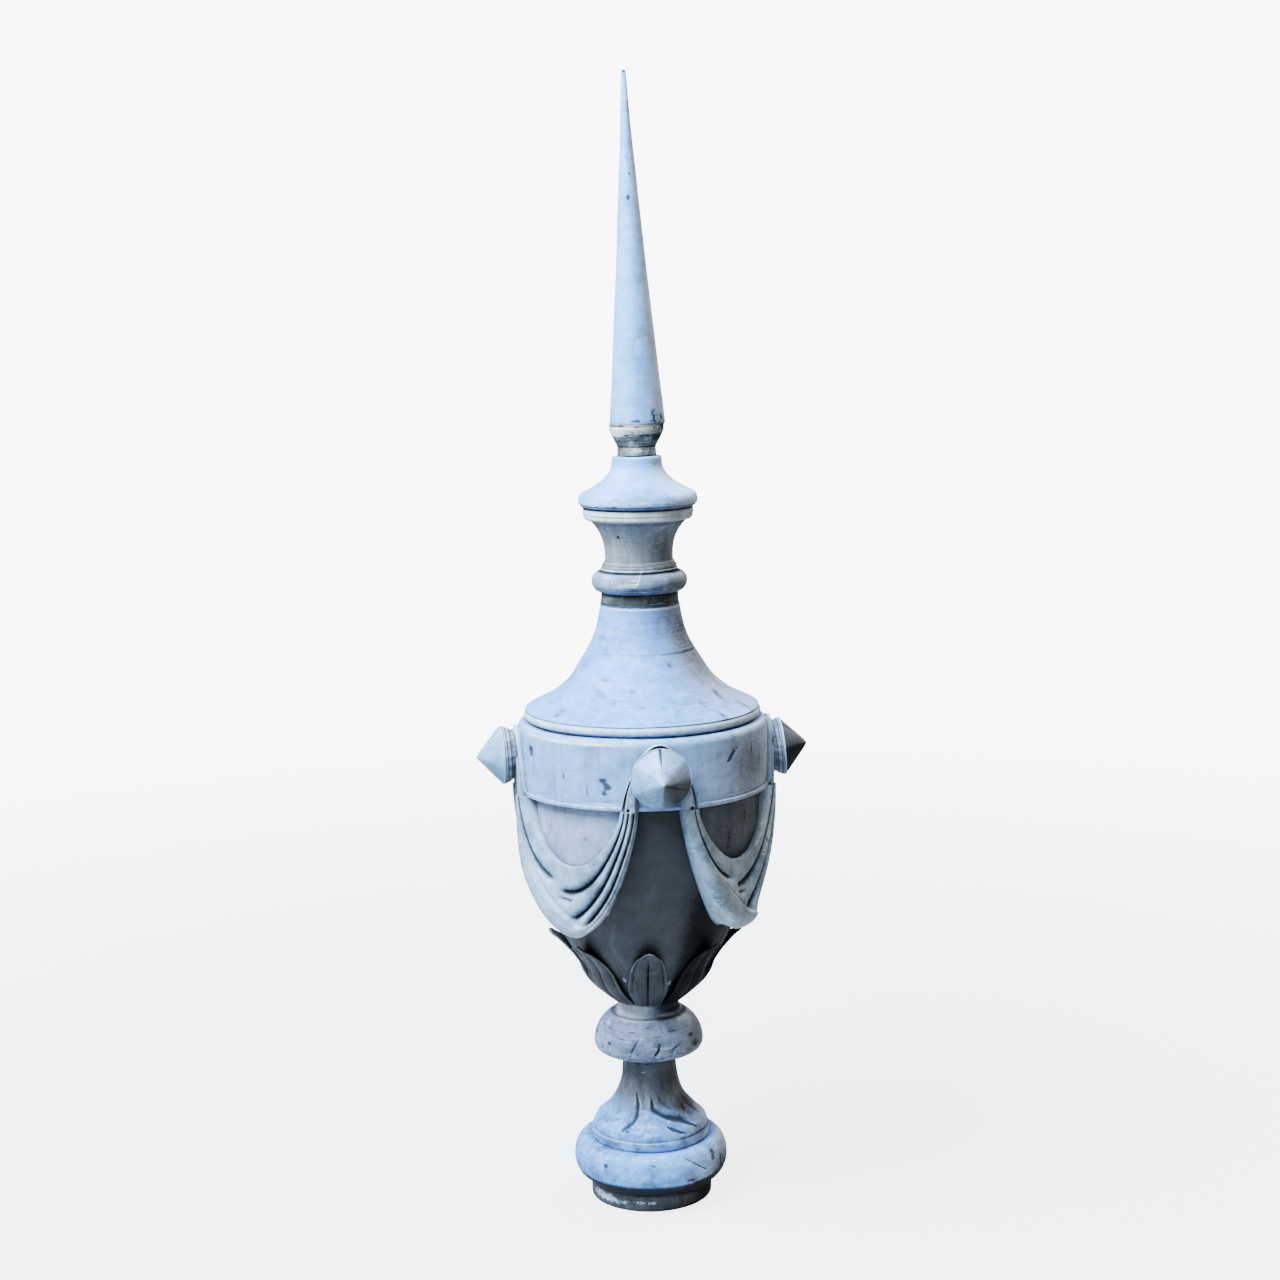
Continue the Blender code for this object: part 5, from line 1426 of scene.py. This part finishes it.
taper = [(SPIKE_TIP_R + (SPIKE_BASE_R - SPIKE_TIP_R) * s**SPIKE_TAPER, SPIKE_TIP - SPIKE_HEIGHT * s)
         for s in np.linspace(0.012, 1, 60)]
spike_line = [(0, SPIKE_TIP)] + arc(0, taper[0][1], taper[0][0], SPIKE_TIP - taper[0][1], 80, 8, 6) + taper
spike_line += [(0, SPIKE_FOOT)]
spike_paint = {
    "grey_and_shade": [(0.45, ring(SPIKE_FOOT, 6.0 * MM)), (0.40, spot(45, 1.062, 0.020, 0.012))],
    "stain": [*spots((0.95, 5, 1.3694, 1.5, 2.8), (1.1, -9, 1.3393, 2.6, 3.4),
                     (0.7, -20, 1.3285, 1.2, 1.4), (0.6, 10, 1.3600, 1.2, 1.4),
                     (0.6, -50, 1.3640, 1.2, 1.4), (0.55, -38, 1.3560, 1.2, 1.2),
                     (0.75, -8, 1.3905, 2.2, 1), (0.42, 8, 1.3850, 5, 6.5)),
              (1.0, spot(20, SPIKE_TIP - 1.5 * MM, 0.006, 0.0040)), (0.5, spot(40, 1.476, 0.0012, 0.0018)),
              (0.6, stroke([(72, 1.497), (72, 1.470), (76, 1.435)], 1.1 * MM)),
              *spots((0.45, -10, 1.452, 1.2, 1.4), (0.38, 45, 1.292, 6, 5.5), (0.50, 32, 1.0670, 11, 11),
                     (0.9, 30, 1.0590, 1.3, 4.2), (1.1, 54, 1.0595, 2.2, 4), (1.1, 68, 1.0535, 6, 2.4)),
              (1.0, stroke([(-30, 1.0530), (-16, 1.0548), (-3, 1.0556)], 1.3 * MM)),
              *spots((0.9, -46, 1.0530, 5, 1.2), (0.6, 25, 1.0550, 9, 1.2), (0.6, 170, 1.0555, 20, 1.2))],
    "soil_and_shade": [(0.30, ring(SPIKE_FOOT, 1.2 * MM)),
               (0.16, stroke([(-40, 1.292), (10, 1.297), (60, 1.308)], 0.9 * MM)),
               (0.22, stroke([(-40, 1.372), (0, 1.379), (50, 1.372)], 0.8 * MM)),
               (0.25, spot(30, 1.064, 0.012, 0.012))],
    "wear_and_highlight": [(0.9, stroke([(0, 1.3900), (30, 1.3930), (80, 1.3950)], 1.1 * MM)),
             *spots((0.35, 10, 1.375, 6, 8), (0.7, 50, 1.0565, 8, 0.8))],
}
spike_push = [(0.35 * MM, uneven(36, finest=4)), (-0.5 * MM, spot(10, 1.300, 0.02, 0.006)),
              (0.4 * MM, stroke([(0, 1.3900), (30, 1.3930), (80, 1.3950)], 1.6 * MM))]
spike = spin("spike_skin", softened(spike_line, 0.0008), 112, 0.0036, spike_push, spike_paint)
for vertex in spike.data.vertices:
    height = vertex.co.z - SPIKE_FOOT
    vertex.co.x += foot_middle[0] + lean[0] * height
    vertex.co.y += foot_middle[1] + lean[1] * height
wear(spike, "spike", pale_zinc)

# %% [markdown]
# ## Floor
# The finial stands on a pale floor. The floor fades out before its edge, so that no horizon cuts the
# picture. A weak glow that only the camera sees keeps it pale without lighting the zinc from below.

# %% Floor
FLOOR_R = 5.0
BACKDROP = 9.0


def pale_floor():
    """A pale, evenly lit floor that fades into the backdrop."""
    recipe = Recipe("pale floor")
    place = recipe.node("TexCoord").outputs["Object"]
    far = recipe.node("VectorMath", {"operation": "LENGTH"})
    recipe.feed(far, "0", place)
    solid = recipe.span(far.outputs["Value"], 0.4, FLOOR_R * 0.8, 1.0, 0.0)
    seen = recipe.node("LightPath").outputs["Is Camera Ray"]
    recipe.shader.inputs["Base Color"].default_value = (0.30, 0.31, 0.33, 1.0)
    recipe.shader.inputs["Roughness"].default_value = 0.9
    recipe.shader.inputs["Emission Color"].default_value = (0.97, 0.98, 1.0, 1.0)
    recipe.feed(recipe.shader, "Emission Strength", recipe.maths("MULTIPLY", seen, BACKDROP * 0.45))
    recipe.feed(recipe.shader, "Alpha", solid)
    return recipe.material


bpy.ops.mesh.primitive_circle_add(vertices=96, radius=FLOOR_R, fill_type="NGON", location=(0, 0, 0))
floor = bpy.context.object
floor.name = "floor"
floor.data.materials.append(pale_floor())

# %% [markdown]
# ## Light
# The light is soft and comes from the upper left, as the shading of the bosses and the cap tells. A soft
# box with a bluish tint is the key, a second one stands for the sky, and a weak one at the right, behind
# the finial, keeps its edge from the backdrop. The world is white for the camera only: for the light it
# is a dim sky, a little warm, so the shadows don't turn blue.

# %% Light
def soft_light(name, azimuth, elevation, distance, size, power, tint):
    """A square soft box that looks at the middle of the finial."""
    light = bpy.data.lights.new(name, "AREA")
    light.size = size
    light.energy = power
    light.color = tint
    box = bpy.data.objects.new(name, light)
    bpy.context.scene.collection.objects.link(box)
    a, e = radians(azimuth), radians(elevation)
    target = Vector((0, 0, 0.75))
    box.location = target + distance * Vector((sin(a) * cos(e), -cos(a) * cos(e), sin(e)))
    box.rotation_euler = (target - box.location).to_track_quat("-Z", "Y").to_euler()
    return box


# name, azimuth, elevation, distance, size, power, tint
soft_light("key light", -62, 53, 2.7, 1.6, 580, (0.72, 0.88, 1.0))
soft_light("sky light", -40, 80, 3.2, 2.2, 110, (0.80, 0.90, 1.0))
soft_light("back light", 128, 32, 3.2, 1.2, 110, (0.90, 0.95, 1.0))


def studio_world():
    """A white backdrop for the camera. For the light it is a sky that is dim below the horizon."""
    world = bpy.data.worlds.new("studio")
    world.use_nodes = True
    tree = world.node_tree
    backdrop = tree.nodes["Background"]
    backdrop.inputs["Color"].default_value = (0.97, 0.98, 1.0, 1.0)
    backdrop.inputs["Strength"].default_value = BACKDROP
    sky = tree.nodes.new("ShaderNodeBackground")
    place = tree.nodes.new("ShaderNodeTexCoord")
    split = tree.nodes.new("ShaderNodeSeparateXYZ")
    ramp = tree.nodes.new("ShaderNodeValToRGB")
    ramp.color_ramp.elements[0].color = (0.08, 0.075, 0.06, 1.0)
    ramp.color_ramp.elements[1].color = (1.0, 0.90, 0.70, 1.0)
    rays = tree.nodes.new("ShaderNodeLightPath")
    choice = tree.nodes.new("ShaderNodeMixShader")
    tree.links.new(place.outputs["Generated"], split.inputs[0])
    tree.links.new(split.outputs["Z"], ramp.inputs[0])
    tree.links.new(ramp.outputs[0], sky.inputs["Color"])
    sky.inputs["Strength"].default_value = 0.8
    tree.links.new(rays.outputs["Is Camera Ray"], choice.inputs[0])
    tree.links.new(sky.outputs[0], choice.inputs[1])
    tree.links.new(backdrop.outputs[0], choice.inputs[2])
    tree.links.new(choice.outputs[0], tree.nodes["World Output"].inputs[0])
    return world


bpy.context.scene.world = studio_world()

# %% [markdown]
# ## Camera
# The camera stands where the photographer did, a little to the left of the front boss and higher than
# the middle, and looks slightly down. The lens length follows from how many pixels one metre covered.

# %% Camera
CAMERA_AZIMUTH = -7.0
CAMERA_PITCH = 9.0
CAMERA_ROLL = -1.18
CAMERA_DISTANCE = 2.839
CAMERA_HEIGHT = 1.2145
PHOTO_WIDTH = 1280
FOCAL_PIXELS = 2170
SENSOR = 36
SHIFT_PIXELS = -0.6

camera = bpy.data.objects.new("camera", bpy.data.cameras.new("camera"))
bpy.context.scene.collection.objects.link(camera)
camera.data.sensor_width = SENSOR
camera.data.lens = SENSOR * FOCAL_PIXELS / PHOTO_WIDTH
camera.data.shift_x = SHIFT_PIXELS / PHOTO_WIDTH
aim = Matrix.Rotation(radians(CAMERA_AZIMUTH), 4, "Z") @ Matrix.Rotation(radians(90 - CAMERA_PITCH), 4, "X")
aim = aim @ Matrix.Rotation(radians(CAMERA_ROLL), 4, "Z")
stand = Vector((sin(radians(CAMERA_AZIMUTH)), -cos(radians(CAMERA_AZIMUTH)), 0)) * CAMERA_DISTANCE
camera.matrix_world = Matrix.Translation(stand + Vector((0, 0, CAMERA_HEIGHT))) @ aim
bpy.context.scene.camera = camera
print("lens", round(camera.data.lens, 1), "mm")
